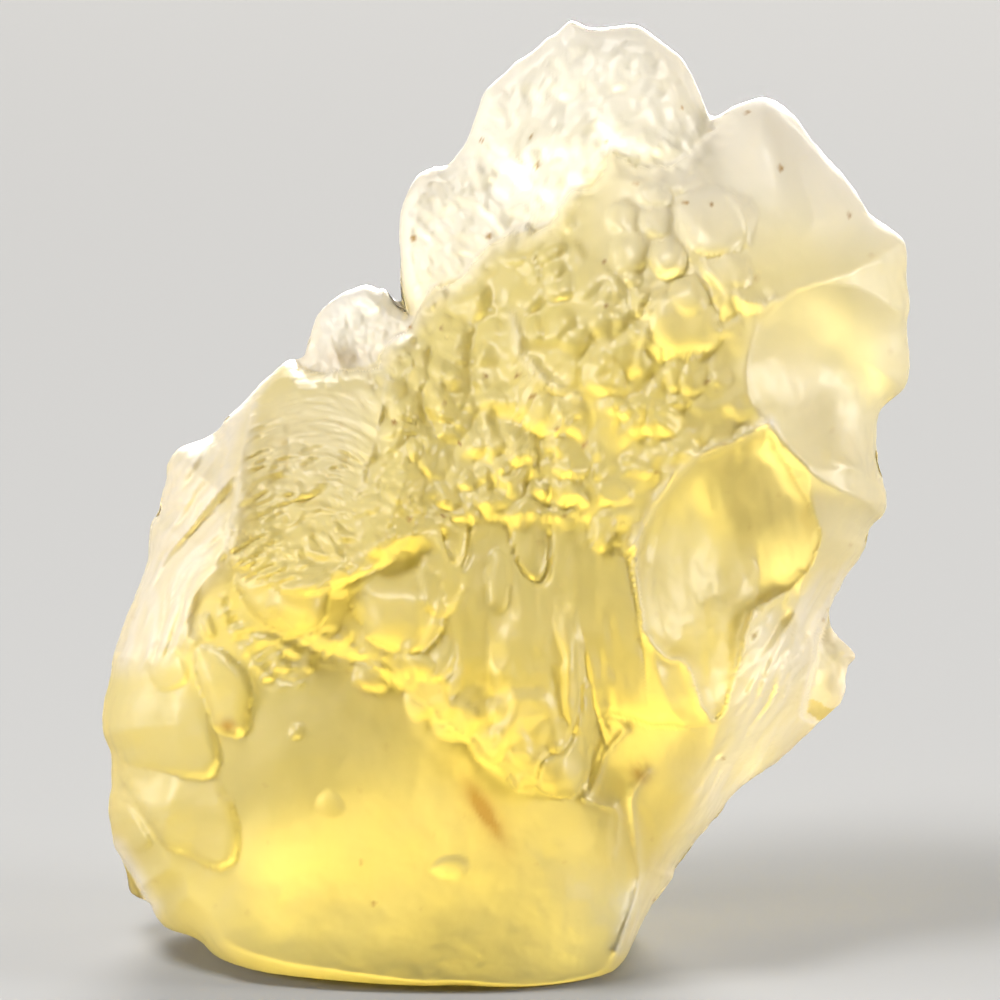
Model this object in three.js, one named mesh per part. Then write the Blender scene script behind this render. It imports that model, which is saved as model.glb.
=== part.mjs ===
// One lump of raw natural glass, standing upright on a flattened underside.
// Lengths are millimetres. +X is right, +Y is away from the viewer, +Z is up.
// The origin is on the floor, under the middle of the stone.
import * as THREE from "three";

// Sizes of the stone that drive the rest.
const VIEW_TILT_DEG = 12;
const FOOT_DROP = 1.85;
const MIDDLE_RIGHT = 0.3;
const MIDDLE_BACK = 3.3;
const FOOT_EDGE_ROUND = 0.35;
const FRONT_CELLS = 62;
const BACK_CELLS = 31;
const PATCH_REACH = 0.42;
const RIM_SETTLING = 4;
const STEADY_SPAN_DEG = 26;
const STEADY_SAMPLES = 13;
const RIM_CROWDING = 1.3;
const SKIN_SOFTNESS = 1.5;

// The face is drawn flat, seen square on: u runs right and v runs up, both in mm,
// and w is the height of the skin towards the viewer.
const HEART = [0.5, 21.5];

// Outline of the whole stone, clockwise from the notch left of the tall crest.
const CREST_EDGE = [
  [-4.55, 33.75], [-4.85, 34.5], [-4.95, 35.5], [-5.0, 37.0], [-5.1, 37.65], [-5.0, 38.75],
  [-4.5, 40.25], [-4.15, 40.85], [-3.4, 41.2], [-2.7, 41.2], [-2.25, 41.65], [-1.6, 42.6],
  [-1.2, 43.9], [-0.95, 44.5], [-0.85, 45.0], [0.4, 46.0], [0.75, 46.5], [2.0, 47.35],
  [2.35, 47.8], [2.75, 47.9], [3.4, 48.6], [3.75, 48.65], [4.25, 48.3], [5.6, 48.2],
  [6.25, 48.3], [6.85, 48.3], [7.5, 48.0], [8.4, 47.2], [8.9, 46.9], [9.25, 46.5],
  [9.85, 45.3], [10.4, 43.9], [10.6, 43.65],
];
const RIGHT_EDGE = [
  [11.0, 43.75], [11.5, 44.15], [12.1, 44.4], [13.1, 44.7], [14.0, 44.35], [15.0, 43.5],
  [15.5, 42.75], [17.1, 40.9], [18.1, 39.5], [18.5, 38.85], [20.0, 37.75], [20.3, 37.35],
  [20.4, 36.5], [20.35, 35.5], [20.55, 34.1], [20.35, 32.75], [20.55, 31.6], [20.4, 30.25],
  [20.0, 29.75], [19.35, 29.4], [19.0, 28.9], [18.8, 27.0], [18.9, 26.1], [19.4, 24.5],
  [19.2, 23.65], [18.75, 23.4], [18.4, 22.9], [18.25, 21.85], [16.9, 19.9], [16.5, 18.4],
];
const BACK_FLAKE_EDGE = [
  [17.15, 17.5], [18.0, 16.6], [17.5, 16.25], [17.35, 15.5], [17.4, 14.75], [16.9, 14.1],
];
const LOWER_RIGHT_EDGE = [
  [15.0, 12.4], [13.5, 11.1], [12.25, 10.25], [11.5, 9.5], [10.4, 8.15], [9.0, 6.4],
  [8.7, 5.6], [7.65, 4.3], [6.9, 2.9], [6.35, 1.6], [5.75, 0.6],
];
const FOOT_EDGE = [
  [5.0, 0.25], [4.0, 0.0], [2.5, -0.15], [0, -0.05], [-2.0, 0.1], [-4.0, -0.05], [-6.5, 0.05],
  [-10.5, 0.4], [-13.0, 1.0], [-14.4, 1.8], [-15.0, 2.4],
];
const LEFT_EDGE = [
  [-16.1, 2.8], [-17.0, 3.2], [-17.6, 4.3], [-18.55, 4.65], [-18.65, 5.75], [-19.15, 6.75],
  [-19.4, 7.5], [-19.6, 8.75], [-19.6, 9.75], [-19.45, 10.25], [-19.45, 11.65],
  [-19.95, 12.85], [-19.7, 14.9], [-19.35, 16.9], [-18.65, 18.9], [-18.0, 20.5],
  [-17.6, 21.6], [-17.55, 22.9], [-17.4, 23.45], [-17.0, 23.9], [-16.95, 24.75],
  [-16.7, 25.4], [-16.7, 26.0], [-16.5, 26.6], [-16.0, 27.2], [-15.0, 27.5], [-14.25, 27.9],
  [-13.6, 28.7], [-12.0, 30.3], [-10.7, 31.5], [-10.0, 31.55],
];
const SMALL_CREST_EDGE = [
  [-9.55, 32.5], [-9.4, 33.25], [-9.1, 33.9], [-8.75, 34.35], [-7.75, 35.0], [-6.75, 35.35],
  [-6.1, 35.05], [-5.8, 35.15], [-5.6, 34.95], [-5.25, 34.25], [-5.0, 34.15], [-4.7, 33.9],
];
const OUTLINE = [
  ...CREST_EDGE,
  ...RIGHT_EDGE,
  ...BACK_FLAKE_EDGE,
  ...LOWER_RIGHT_EDGE,
  ...FOOT_EDGE,
  ...LEFT_EDGE,
  ...SMALL_CREST_EDGE,
];

const CLOSED_OUTLINE = [...OUTLINE, OUTLINE[0]];

// Round the outline: bearing in degrees from the heart (0 right, 90 up), height w of the
// edge itself, and how far inwards the front and the back take to round over.
const EDGE_STATIONS = [
  { bearing: -176, height: -2.5, front: 4.5, back: 4.0 },
  { bearing: -150, height: -2.5, front: 4.0, back: 3.5 },
  { bearing: -137, height: -3.5, front: 2.5, back: 3.0 },
  { bearing: -125, height: -0.5, front: 1.2, back: 2.2 },
  { bearing: -90, height: 0.0, front: 0.5, back: 1.0 },
  { bearing: -75, height: -0.5, front: 0.8, back: 1.2 },
  { bearing: -60, height: -2.5, front: 1.6, back: 2.0 },
  { bearing: -30, height: -4.0, front: 1.6, back: 2.0 },
  { bearing: -16, height: -5.5, front: 1.4, back: 1.2 },
  { bearing: -5, height: -3.0, front: 3.0, back: 2.4 },
  { bearing: 20, height: -2.0, front: 2.4, back: 2.6 },
  { bearing: 45, height: -1.5, front: 3.6, back: 3.0 },
  { bearing: 62, height: -2.5, front: 2.6, back: 2.2 },
  { bearing: 67, height: -4.2, front: 1.0, back: 1.4 },
  { bearing: 90, height: -5.0, front: 0.9, back: 1.2 },
  { bearing: 110, height: -5.2, front: 0.9, back: 1.2 },
  { bearing: 122, height: -5.6, front: 1.4, back: 1.4 },
  { bearing: 136, height: -3.5, front: 2.6, back: 2.4 },
  { bearing: 160, height: -3.0, front: 3.6, back: 3.6 },
];

// Heights of the front skin, as posts it is stretched over: right, up, height.
const FRONT_POSTS = [
  [-3.5, 34.0, 2.6], [0.3, 37.3, 2.8], [3.0, 38.6, 3.0], [5.6, 41.6, 2.6], [8.0, 41.2, 3.0],
  [10.8, 42.0, 1.0], [13.5, 42.5, 2.6], [15.5, 39.5, 4.6], [18.0, 37.0, 4.2], [19.0, 35.6, 3.8],
  [12.0, 37.5, 6.4], [9.0, 36.5, 7.0], [5.0, 36.5, 6.0], [2.0, 34.5, 5.4], [-1.5, 32.0, 5.4],
  [-5.0, 30.8, 5.2], [-8.0, 30.8, 4.6], [-11.0, 29.6, 3.6], [-12.4, 27.5, 6.0],
  [-13.1, 23.8, 7.6], [-14.0, 20.8, 8.2], [-15.4, 17.5, 7.8], [-9.5, 25.5, 8.4],
  [-6.0, 27.5, 8.0], [-3.0, 26.0, 8.8], [1.0, 26.5, 8.8], [5.0, 25.5, 9.4], [8.0, 29.5, 8.4],
  [12.7, 33.0, 8.2], [15.0, 35.2, 7.2], [17.6, 35.8, 5.4], [17.0, 31.0, 6.0],
  [13.2, 28.3, 8.9], [10.2, 27.1, 9.3], [6.8, 22.4, 9.6], [11.5, 23.0, 8.0], [16.0, 25.4, 7.0],
  [18.3, 24.2, 4.2], [15.5, 21.0, 5.6], [11.6, 17.0, 7.6], [10.9, 13.6, 7.6], [8.0, 15.5, 8.8],
  [13.6, 15.5, 4.6], [9.4, 9.6, 5.6], [7.0, 7.2, 6.0], [6.2, 3.4, 5.6], [5.0, 11.2, 8.4],
  [2.0, 17.5, 10.2], [-2.5, 17.0, 10.2], [-8.0, 17.8, 9.4], [-10.5, 12.0, 10.2],
  [-5.0, 9.0, 10.8], [0.0, 6.0, 10.2], [4.0, 4.0, 8.2], [-6.0, 2.0, 9.4], [-12.0, 4.5, 8.2],
  [-15.5, 7.5, 6.4], [-16.5, 12.0, 6.6], [0.5, 1.6, 9.0], [16.2, 17.6, 0.6],
  [15.6, 14.6, -0.8], [13.4, 12.4, 0.6], [11.2, 10.6, 1.8], [9.6, 8.0, 2.4], [7.6, 5.4, 3.2],
];

// Heights of the thin crests that stand behind the front mass.
const CREST_POSTS = [
  [5.0, 46.5, -3.2], [3.0, 44.0, -2.4], [7.5, 44.5, -2.2], [9.6, 43.2, -1.4],
  [0.0, 41.0, -2.6], [3.5, 40.5, -1.4], [-3.5, 38.5, -3.2], [-2.0, 36.5, -2.2],
  [-3.6, 35.0, -2.4], [-8.2, 33.0, -3.6], [-6.5, 33.4, -3.2], [-8.5, 31.4, -2.6],
  [8.0, 42.2, -0.6],
];

// Heights of the back skin, away from the viewer being negative.
const BACK_POSTS = [
  [-6.0, 1.5, -8.6], [3.0, 1.5, -7.2], [-13.0, 4.5, -8.0], [-17.0, 9.0, -6.6],
  [-10.0, 10.0, -10.4], [0.0, 10.0, -10.8], [8.0, 9.0, -7.4], [-15.5, 18.0, -7.8],
  [-8.0, 20.0, -11.4], [2.0, 20.0, -12.0], [10.0, 18.0, -10.0], [14.5, 16.0, -8.0],
  [-12.5, 26.0, -8.2], [-4.0, 28.0, -10.6], [5.0, 28.0, -11.0], [13.0, 27.0, -9.4],
  [17.5, 29.0, -6.8], [17.0, 35.0, -6.4], [11.0, 36.0, -8.6], [3.0, 36.0, -8.8],
  [-3.0, 37.0, -7.6], [-7.5, 33.0, -7.6], [13.5, 41.5, -5.6], [7.0, 42.0, -7.2],
  [2.0, 43.0, -6.9], [5.5, 46.5, -6.4],
];

// Region of the front mass: its top rim, then a wide loop round the rest of the stone.
const FRONT_MASS = [
  [-14.0, 35.0], [-10.4, 31.4], [-10.0, 31.0], [-8.4, 30.7], [-7.75, 31.0], [-6.25, 31.2],
  [-6.0, 31.9], [-5.0, 32.45], [-4.5, 32.9], [-4.0, 34.0], [-3.5, 34.85], [-2.75, 35.45],
  [-1.75, 35.55], [-1.25, 36.4], [-0.75, 37.0], [0.25, 37.65], [1.0, 37.8], [2.25, 38.05],
  [3.0, 38.9], [3.6, 39.75], [4.5, 40.5], [4.9, 41.25], [5.6, 42.0], [6.25, 41.65],
  [7.5, 41.4], [9.6, 41.6], [10.5, 42.9], [10.6, 44.0], [10.6, 50.0], [40.0, 50.0],
  [40.0, -20.0], [-40.0, -20.0], [-40.0, 35.0],
];
const FRONT_MASS_SHOULDER = 3.0;

// Thin flakes of the back that show past the front mass, and how far they sit back.
const FLAKES = [
  {
    shape: [
      [15.9, 17.6], [15.75, 16.5], [15.4, 15.0], [15.2, 13.8], [22.0, 9.0], [22.0, 19.5],
      [16.4, 18.9],
    ],
    height: -4.4,
    shoulder: 1.2,
  },
  {
    shape: [[-19.2, 7.0], [-18.25, 5.5], [-17.5, 4.2], [-18.5, 2.5], [-22.0, 3.0], [-22.0, 7.5]],
    height: -4.0,
    shoulder: 1.0,
  },
];

// Hollows with crisp brims: centre, half sizes, turn in degrees, depth.
const FRONT_SCOOPS = [
  { centre: [-9.4, 25.2], half: [4.3, 5.9], turn: -12, depth: 2.6 },
  { centre: [16.7, 30.6], half: [4.5, 4.6], turn: 0, depth: 2.9 },
  { centre: [11.2, 23.6], half: [4.3, 5.0], turn: -30, depth: 2.0 },
  { centre: [10.2, 17.6], half: [2.6, 5.0], turn: 6, depth: 1.3 },
  { centre: [6.8, 6.6], half: [1.4, 3.2], turn: 10, depth: 0.5 },
];
const BACK_SCOOPS = [
  { centre: [-9.0, 16.0], half: [7.5, 6.0], turn: 20, depth: 2.6 },
  { centre: [3.0, 24.0], half: [7.0, 6.4], turn: -25, depth: 2.8 },
  { centre: [12.5, 31.0], half: [6.0, 6.6], turn: 10, depth: 2.2 },
  { centre: [-4.5, 32.0], half: [5.0, 5.0], turn: 0, depth: 1.7 },
  { centre: [5.0, 38.5], half: [5.2, 4.6], turn: 0, depth: 1.2 },
  { centre: [6.5, 12.0], half: [6.0, 5.4], turn: -30, depth: 2.3 },
  { centre: [-13.5, 24.5], half: [3.8, 4.6], turn: 0, depth: 1.5 },
  { centre: [-3.0, 6.5], half: [6.6, 4.4], turn: 0, depth: 1.6 },
];

// Sharp-walled hollow down the right: its brim, wall depth and wall width.
const CHUTE = {
  shape: [
    [6.6, 22.2], [7.0, 23.0], [7.75, 24.25], [9.0, 25.5], [10.0, 26.75], [12.0, 27.5],
    [13.2, 27.7], [14.2, 26.2], [15.4, 24.6], [16.0, 22.6], [15.6, 21.0], [13.75, 19.6],
    [12.5, 19.0], [12.0, 17.5], [11.75, 15.5], [11.2, 13.6], [10.6, 13.4], [10.0, 14.6],
    [9.5, 15.75], [9.0, 16.6], [8.25, 16.75], [7.15, 17.75], [7.0, 19.0], [6.8, 20.75],
  ],
  height: -1.0,
  shoulder: 1.6,
};

// Raised plates with rounded shoulders: apron of run glass, tongues, lobes and pads.
const PLATES = [
  {
    shape: [
      [-12.5, 20.5], [-9.5, 17.0], [-7.0, 16.6], [-5.25, 15.4], [-4.0, 14.9], [-3.0, 13.75],
      [-2.0, 12.75], [-1.25, 12.25], [0.5, 11.0], [0.7, 10.3], [1.1, 10.0], [1.6, 10.2],
      [2.8, 9.7], [3.8, 9.95], [4.2, 10.8], [4.45, 12.5], [5.2, 13.8], [6.2, 13.7],
      [7.5, 13.4], [9.5, 13.2], [11.0, 13.4], [11.75, 15.5], [13.0, 20.0], [13.0, 28.0],
      [5.0, 31.0], [-6.0, 29.0],
    ],
    height: 0.9,
    shoulder: 1.0,
  },
  {
    shape: [
      [-0.65, 15.0], [-0.6, 13.5], [0.0, 12.25], [1.0, 11.25], [1.6, 10.3], [2.25, 9.85],
      [3.0, 9.75], [3.8, 10.0], [4.15, 11.0], [4.25, 12.5], [3.9, 14.5], [3.0, 17.5],
      [1.5, 19.5], [0.0, 19.5], [-0.6, 17.5],
    ],
    height: 0.7,
    shoulder: 0.9,
  },
  {
    shape: [
      [-13.25, 20.75], [-12.75, 19.75], [-12.1, 18.9], [-11.25, 17.95], [-10.25, 17.8],
      [-9.25, 18.1], [-8.4, 18.9], [-8.25, 19.75], [-10.0, 20.4],
    ],
    height: 0.8,
    shoulder: 0.6,
  },
  {
    shape: [
      [-7.5, 19.5], [-7.0, 18.0], [-6.0, 17.1], [-4.75, 16.9], [-3.5, 17.15], [-2.75, 18.25],
      [-3.0, 19.5], [-5.0, 20.2],
    ],
    height: 0.8,
    shoulder: 0.7,
  },
  {
    shape: [
      [-18.75, 14.5], [-19.0, 12.5], [-18.5, 11.4], [-17.0, 10.9], [-15.25, 10.65],
      [-14.6, 11.4], [-14.4, 12.5], [-15.0, 13.75], [-15.5, 14.5], [-17.0, 15.0],
    ],
    height: 0.5,
    shoulder: 0.5,
  },
  {
    shape: [
      [-19.0, 10.2], [-17.25, 7.5], [-16.0, 6.5], [-14.75, 6.2], [-13.5, 6.15], [-12.9, 7.4],
      [-13.75, 8.5], [-14.75, 10.5], [-17.0, 10.7],
    ],
    height: 0.5,
    shoulder: 0.5,
  },
  {
    shape: [
      [-15.25, 17.5], [-14.0, 17.25], [-13.0, 16.5], [-12.4, 15.25], [-12.5, 14.0],
      [-12.85, 12.6], [-13.5, 12.85], [-14.25, 13.1], [-14.75, 14.5], [-15.2, 15.5],
    ],
    height: 0.55,
    shoulder: 0.5,
  },
];

// Round blisters: centre, half sizes, turn in degrees, height.
const BLISTERS = [
  { centre: [10.75, 38.4], half: [2.1, 1.6], turn: -15, height: 0.9 },
  { centre: [11.75, 36.6], half: [1.5, 1.35], turn: 0, height: 0.7 },
  { centre: [12.4, 35.5], half: [1.5, 1.2], turn: 0, height: 0.5 },
  { centre: [6.1, 38.75], half: [1.0, 0.95], turn: 0, height: 0.6 },
  { centre: [7.6, 39.65], half: [0.8, 0.65], turn: 0, height: 0.45 },
  { centre: [8.25, 36.6], half: [1.2, 1.2], turn: 0, height: 0.55 },
  { centre: [5.9, 36.4], half: [0.9, 1.25], turn: 0, height: 0.45 },
  { centre: [9.25, 33.25], half: [2.1, 1.9], turn: 0, height: 0.85 },
  { centre: [1.9, 29.4], half: [1.1, 1.6], turn: 35, height: 0.6 },
  { centre: [-3.0, 20.75], half: [1.0, 2.0], turn: 8, height: 0.5 },
  { centre: [0.0, 20.5], half: [0.6, 1.5], turn: 0, height: 0.35 },
  { centre: [-6.5, 15.75], half: [0.9, 0.75], turn: 0, height: 0.5 },
  { centre: [-4.2, 16.3], half: [1.0, 0.8], turn: 0, height: 0.5 },
  { centre: [5.0, 23.0], half: [0.7, 0.6], turn: 0, height: 0.4 },
  { centre: [6.7, 22.8], half: [0.7, 0.6], turn: 0, height: 0.5 },
];

// Narrow raised brims that catch the light: course, height, width.
const BRIMS = [
  {
    course: [
      [-12.2, 29.4], [-12.6, 27.5], [-12.9, 25.5], [-13.2, 24.0], [-13.6, 22.0], [-14.2, 20.9],
      [-15.0, 20.0], [-15.5, 19.0], [-15.5, 17.5],
    ],
    height: 0.5,
    width: 0.9,
  },
  {
    course: [
      [19.0, 36.4], [18.0, 36.0], [16.75, 35.4], [15.0, 35.1], [13.5, 34.4], [12.6, 33.0],
      [12.3, 31.0],
    ],
    height: 0.55,
    width: 0.9,
  },
  {
    course: [
      [12.3, 31.0], [12.9, 29.5], [13.4, 28.4], [14.6, 26.8], [16.0, 25.5], [18.0, 24.4],
      [19.2, 24.2],
    ],
    height: 0.5,
    width: 0.9,
  },
  {
    course: [[6.6, 22.3], [7.8, 24.7], [9.0, 26.0], [10.7, 27.3], [12.0, 27.6], [13.4, 28.4]],
    height: 0.5,
    width: 0.9,
  },
  {
    course: [[6.6, 22.3], [6.8, 20.75], [7.05, 19.0], [7.2, 17.7]],
    height: 0.5,
    width: 0.9,
  },
  {
    course: [
      [13.5, 19.6], [12.2, 18.5], [11.9, 15.5], [11.3, 13.8], [10.2, 11.0], [9.3, 8.5],
      [6.9, 5.2], [5.9, 2.0],
    ],
    height: 0.45,
    width: 0.9,
  },
  {
    course: [[0.65, 33.6], [0.75, 32.25], [1.5, 31.5], [2.4, 30.9], [3.25, 30.0]],
    height: 0.5,
    width: 0.9,
  },
];

const GLASS_COLOUR = 0xe6d27c;
const GLASS_ROUGHNESS = 0.35;

const clamp01 = (x) => Math.min(1, Math.max(0, x));
const smooth = (x) => clamp01(x) ** 2 * (3 - 2 * clamp01(x));

// Quarter-round profile: steep at the edge, level one width further in.
const shoulder = (distance, width) => Math.sqrt(1 - (1 - clamp01(distance / width)) ** 2);

// Distance from a point to the nearest place on an open course of straight runs.
function distanceToCourse(course, u, v) {
  let nearest = Infinity;
  for (let i = 0; i + 1 < course.length; i += 1) {
    const [au, av] = course[i];
    const [bu, bv] = course[i + 1];
    const du = bu - au;
    const dv = bv - av;
    const along = clamp01(((u - au) * du + (v - av) * dv) / (du * du + dv * dv));
    nearest = Math.min(nearest, Math.hypot(u - au - along * du, v - av - along * dv));
  }
  return nearest;
}

// Distance inside a closed shape, negative outside it.
function depthInside(shape, u, v) {
  let inside = false;
  for (let i = 0; i < shape.length; i += 1) {
    const [au, av] = shape[i];
    const [bu, bv] = shape[(i + 1) % shape.length];
    const crosses = av > v !== bv > v;
    if (crosses && u < au + ((bu - au) * (v - av)) / (bv - av)) {
      inside = !inside;
    }
  }
  const distance = distanceToCourse([...shape, shape[0]], u, v);
  return inside ? distance : -distance;
}

// Squared, normalised distance from the middle of a turned ellipse: 1 on its edge.
function ellipseReach({ centre, half, turn }, u, v) {
  const angle = THREE.MathUtils.degToRad(turn);
  const du = u - centre[0];
  const dv = v - centre[1];
  const across = (du * Math.cos(angle) + dv * Math.sin(angle)) / half[0];
  const up = (dv * Math.cos(angle) - du * Math.sin(angle)) / half[1];
  return across * across + up * up;
}

const spread = (du, dv) => Math.sqrt(du * du + dv * dv + SKIN_SOFTNESS * SKIN_SOFTNESS);

// Solves a small square set of linear equations by elimination with row swaps.
function solve(rows) {
  const n = rows.length;
  for (let col = 0; col < n; col += 1) {
    let pivot = col;
    for (let r = col + 1; r < n; r += 1) {
      if (Math.abs(rows[r][col]) > Math.abs(rows[pivot][col])) {
        pivot = r;
      }
    }
    [rows[col], rows[pivot]] = [rows[pivot], rows[col]];
    for (let r = col + 1; r < n; r += 1) {
      const factor = rows[r][col] / rows[col][col];
      for (let c = col; c <= n; c += 1) {
        rows[r][c] -= factor * rows[col][c];
      }
    }
  }
  const answer = new Array(n).fill(0);
  for (let r = n - 1; r >= 0; r -= 1) {
    let rest = rows[r][n];
    for (let c = r + 1; c < n; c += 1) {
      rest -= rows[r][c] * answer[c];
    }
    answer[r] = rest / rows[r][r];
  }
  return answer;
}

// A smooth skin that passes through every post.
function stretchSkin(posts) {
  const mean = posts.reduce((sum, post) => sum + post[2], 0) / posts.length;
  const rows = posts.map(([u, v, w]) => [
    ...posts.map(([pu, pv]) => spread(u - pu, v - pv)),
    w - mean,
  ]);
  const pull = solve(rows);
  return (u, v) => posts.reduce((sum, [pu, pv], i) => sum + pull[i] * spread(u - pu, v - pv), mean);
}

const frontSkin = stretchSkin(FRONT_POSTS);
const crestSkin = stretchSkin(CREST_POSTS);
const backSkin = stretchSkin(BACK_POSTS);

const deepestScoop = (scoops, u, v) =>
  Math.max(0, ...scoops.map((scoop) => scoop.depth * (1 - ellipseReach(scoop, u, v))));

const tallestBlister = (u, v) =>
  Math.max(
    0,
    ...BLISTERS.map((blister) => blister.height * Math.sqrt(Math.max(0, 1 - ellipseReach(blister, u, v)))),
  );

const plateRise = ({ shape, height, shoulder: width }, u, v) =>
  height * shoulder(Math.max(0, depthInside(shape, u, v)), width);

const brimRise = ({ course, height, width }, u, v) =>
  height * Math.exp(-distanceToCourse(course, u, v) / width);

// Height of the sculpted front, before it rounds over at the outline.
function frontHeight(u, v) {
  let mass = frontSkin(u, v) - deepestScoop(FRONT_SCOOPS, u, v) + plateRise(CHUTE, u, v);
  mass += PLATES.reduce((sum, plate) => sum + plateRise(plate, u, v), 0);
  mass += BRIMS.reduce((sum, brim) => sum + brimRise(brim, u, v), 0);
  mass += tallestBlister(u, v);
  const crest = crestSkin(u, v);
  const depth = depthInside(FRONT_MASS, u, v);
  let height = crest + (mass - crest) * shoulder(Math.max(0, depth), FRONT_MASS_SHOULDER);
  for (const flake of FLAKES) {
    const within = smooth(0.5 + depthInside(flake.shape, u, v) / flake.shoulder);
    height += (flake.height - height) * within;
  }
  return height;
}

// The grid is coarser than the finest brims, so each node takes the mean of a small patch.
function patchMean(heightAt, u, v) {
  const shifts = [-PATCH_REACH, 0, PATCH_REACH];
  let total = 0;
  for (const du of shifts) {
    for (const dv of shifts) {
      total += heightAt(u + du, v + dv);
    }
  }
  return total / (shifts.length * shifts.length);
}

const backHeight = (u, v) => backSkin(u, v) + deepestScoop(BACK_SCOOPS, u, v);

// Reach of the outline from the heart along a bearing, found on the run it crosses.
function outlineReach(bearing) {
  const du = Math.cos(bearing);
  const dv = Math.sin(bearing);
  let reach = 0;
  for (let i = 0; i < OUTLINE.length; i += 1) {
    const au = OUTLINE[i][0] - HEART[0];
    const av = OUTLINE[i][1] - HEART[1];
    const bu = OUTLINE[(i + 1) % OUTLINE.length][0] - HEART[0];
    const bv = OUTLINE[(i + 1) % OUTLINE.length][1] - HEART[1];
    const sideA = du * av - dv * au;
    const sideB = du * bv - dv * bu;
    if (sideA >= 0 !== sideB >= 0) {
      const share = sideA / (sideA - sideB);
      reach = Math.max(reach, du * (au + share * (bu - au)) + dv * (av + share * (bv - av)));
    }
  }
  return reach;
}

// The outline with its notches evened out, for the grid rings well inside the stone.
function steadyReach(bearing) {
  const span = THREE.MathUtils.degToRad(STEADY_SPAN_DEG);
  let total = 0;
  for (let k = 0; k < STEADY_SAMPLES; k += 1) {
    total += outlineReach(bearing + span * ((2 * k) / (STEADY_SAMPLES - 1) - 1));
  }
  return total / STEADY_SAMPLES;
}

// One value of the edge stations, blended round the bearing.
function stationValue(bearing, key) {
  const degrees = THREE.MathUtils.radToDeg(bearing);
  const count = EDGE_STATIONS.length;
  for (let i = 0; i < count; i += 1) {
    const here = EDGE_STATIONS[i];
    const next = EDGE_STATIONS[(i + 1) % count];
    const gap = THREE.MathUtils.euclideanModulo(next.bearing - here.bearing, 360);
    const past = THREE.MathUtils.euclideanModulo(degrees - here.bearing, 360);
    if (past < gap) {
      return here[key] + (next[key] - here[key]) * smooth(past / gap);
    }
  }
  return EDGE_STATIONS[0][key];
}

// Takes a place on the drawing with its height and stands it up on the floor.
function standUp(u, v, w) {
  const tilt = THREE.MathUtils.degToRad(VIEW_TILT_DEG);
  const rise = v - FOOT_DROP;
  const x = u - MIDDLE_RIGHT;
  const y = rise * Math.sin(tilt) - w * Math.cos(tilt) - MIDDLE_BACK;
  const z = rise * Math.cos(tilt) + w * Math.sin(tilt);
  const eased = (z + FOOT_EDGE_ROUND) ** 2 / (4 * FOOT_EDGE_ROUND);
  if (z >= FOOT_EDGE_ROUND) {
    return [x, y, z];
  }
  return [x, y, z <= -FOOT_EDGE_ROUND ? 0 : eased];
}

// Bearing and ring of one grid node; a square grid is wrapped onto the round drawing.
function wrapNode(i, j, cells) {
  const a = (2 * i) / cells - 1;
  const b = (2 * j) / cells - 1;
  const ring = Math.max(Math.abs(a), Math.abs(b));
  if (ring === 0) {
    return { ring, bearing: 0 };
  }
  let bearing;
  if (Math.abs(a) >= Math.abs(b)) {
    bearing = (Math.PI / 4) * (b / a) + (a > 0 ? 0 : Math.PI);
  } else {
    bearing = Math.PI / 2 - (Math.PI / 4) * (a / b) + (b > 0 ? 0 : Math.PI);
  }
  return { ring, bearing: Math.atan2(Math.sin(bearing), Math.cos(bearing)) };
}

function sheetPoint(i, j, cells, side) {
  const { ring, bearing } = wrapNode(i, j, cells);
  const reach = outlineReach(bearing);
  const steady = steadyReach(bearing);
  const share = 1 - (1 - ring) ** RIM_CROWDING;
  const radius = steady * share + (reach - steady) * share ** RIM_SETTLING;
  const u = HEART[0] + radius * Math.cos(bearing);
  const v = HEART[1] + radius * Math.sin(bearing);
  const edge = stationValue(bearing, "height");
  const inwards = ring === 1 ? 0 : distanceToCourse(CLOSED_OUTLINE, u, v);
  const skin = side === "front" ? patchMean(frontHeight, u, v) : patchMean(backHeight, u, v);
  const w = edge + (skin - edge) * shoulder(inwards, stationValue(bearing, side));
  return standUp(u, v, w);
}

// Nodes of the square rim, counter-clockwise from the lower left corner.
function rimNodes(cells) {
  const nodes = [];
  for (let k = 0; k < cells; k += 1) {
    nodes.push([k, 0]);
  }
  for (let k = 0; k < cells; k += 1) {
    nodes.push([cells, k]);
  }
  for (let k = cells; k > 0; k -= 1) {
    nodes.push([k, cells]);
  }
  for (let k = cells; k > 0; k -= 1) {
    nodes.push([0, k]);
  }
  return nodes;
}

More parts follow.
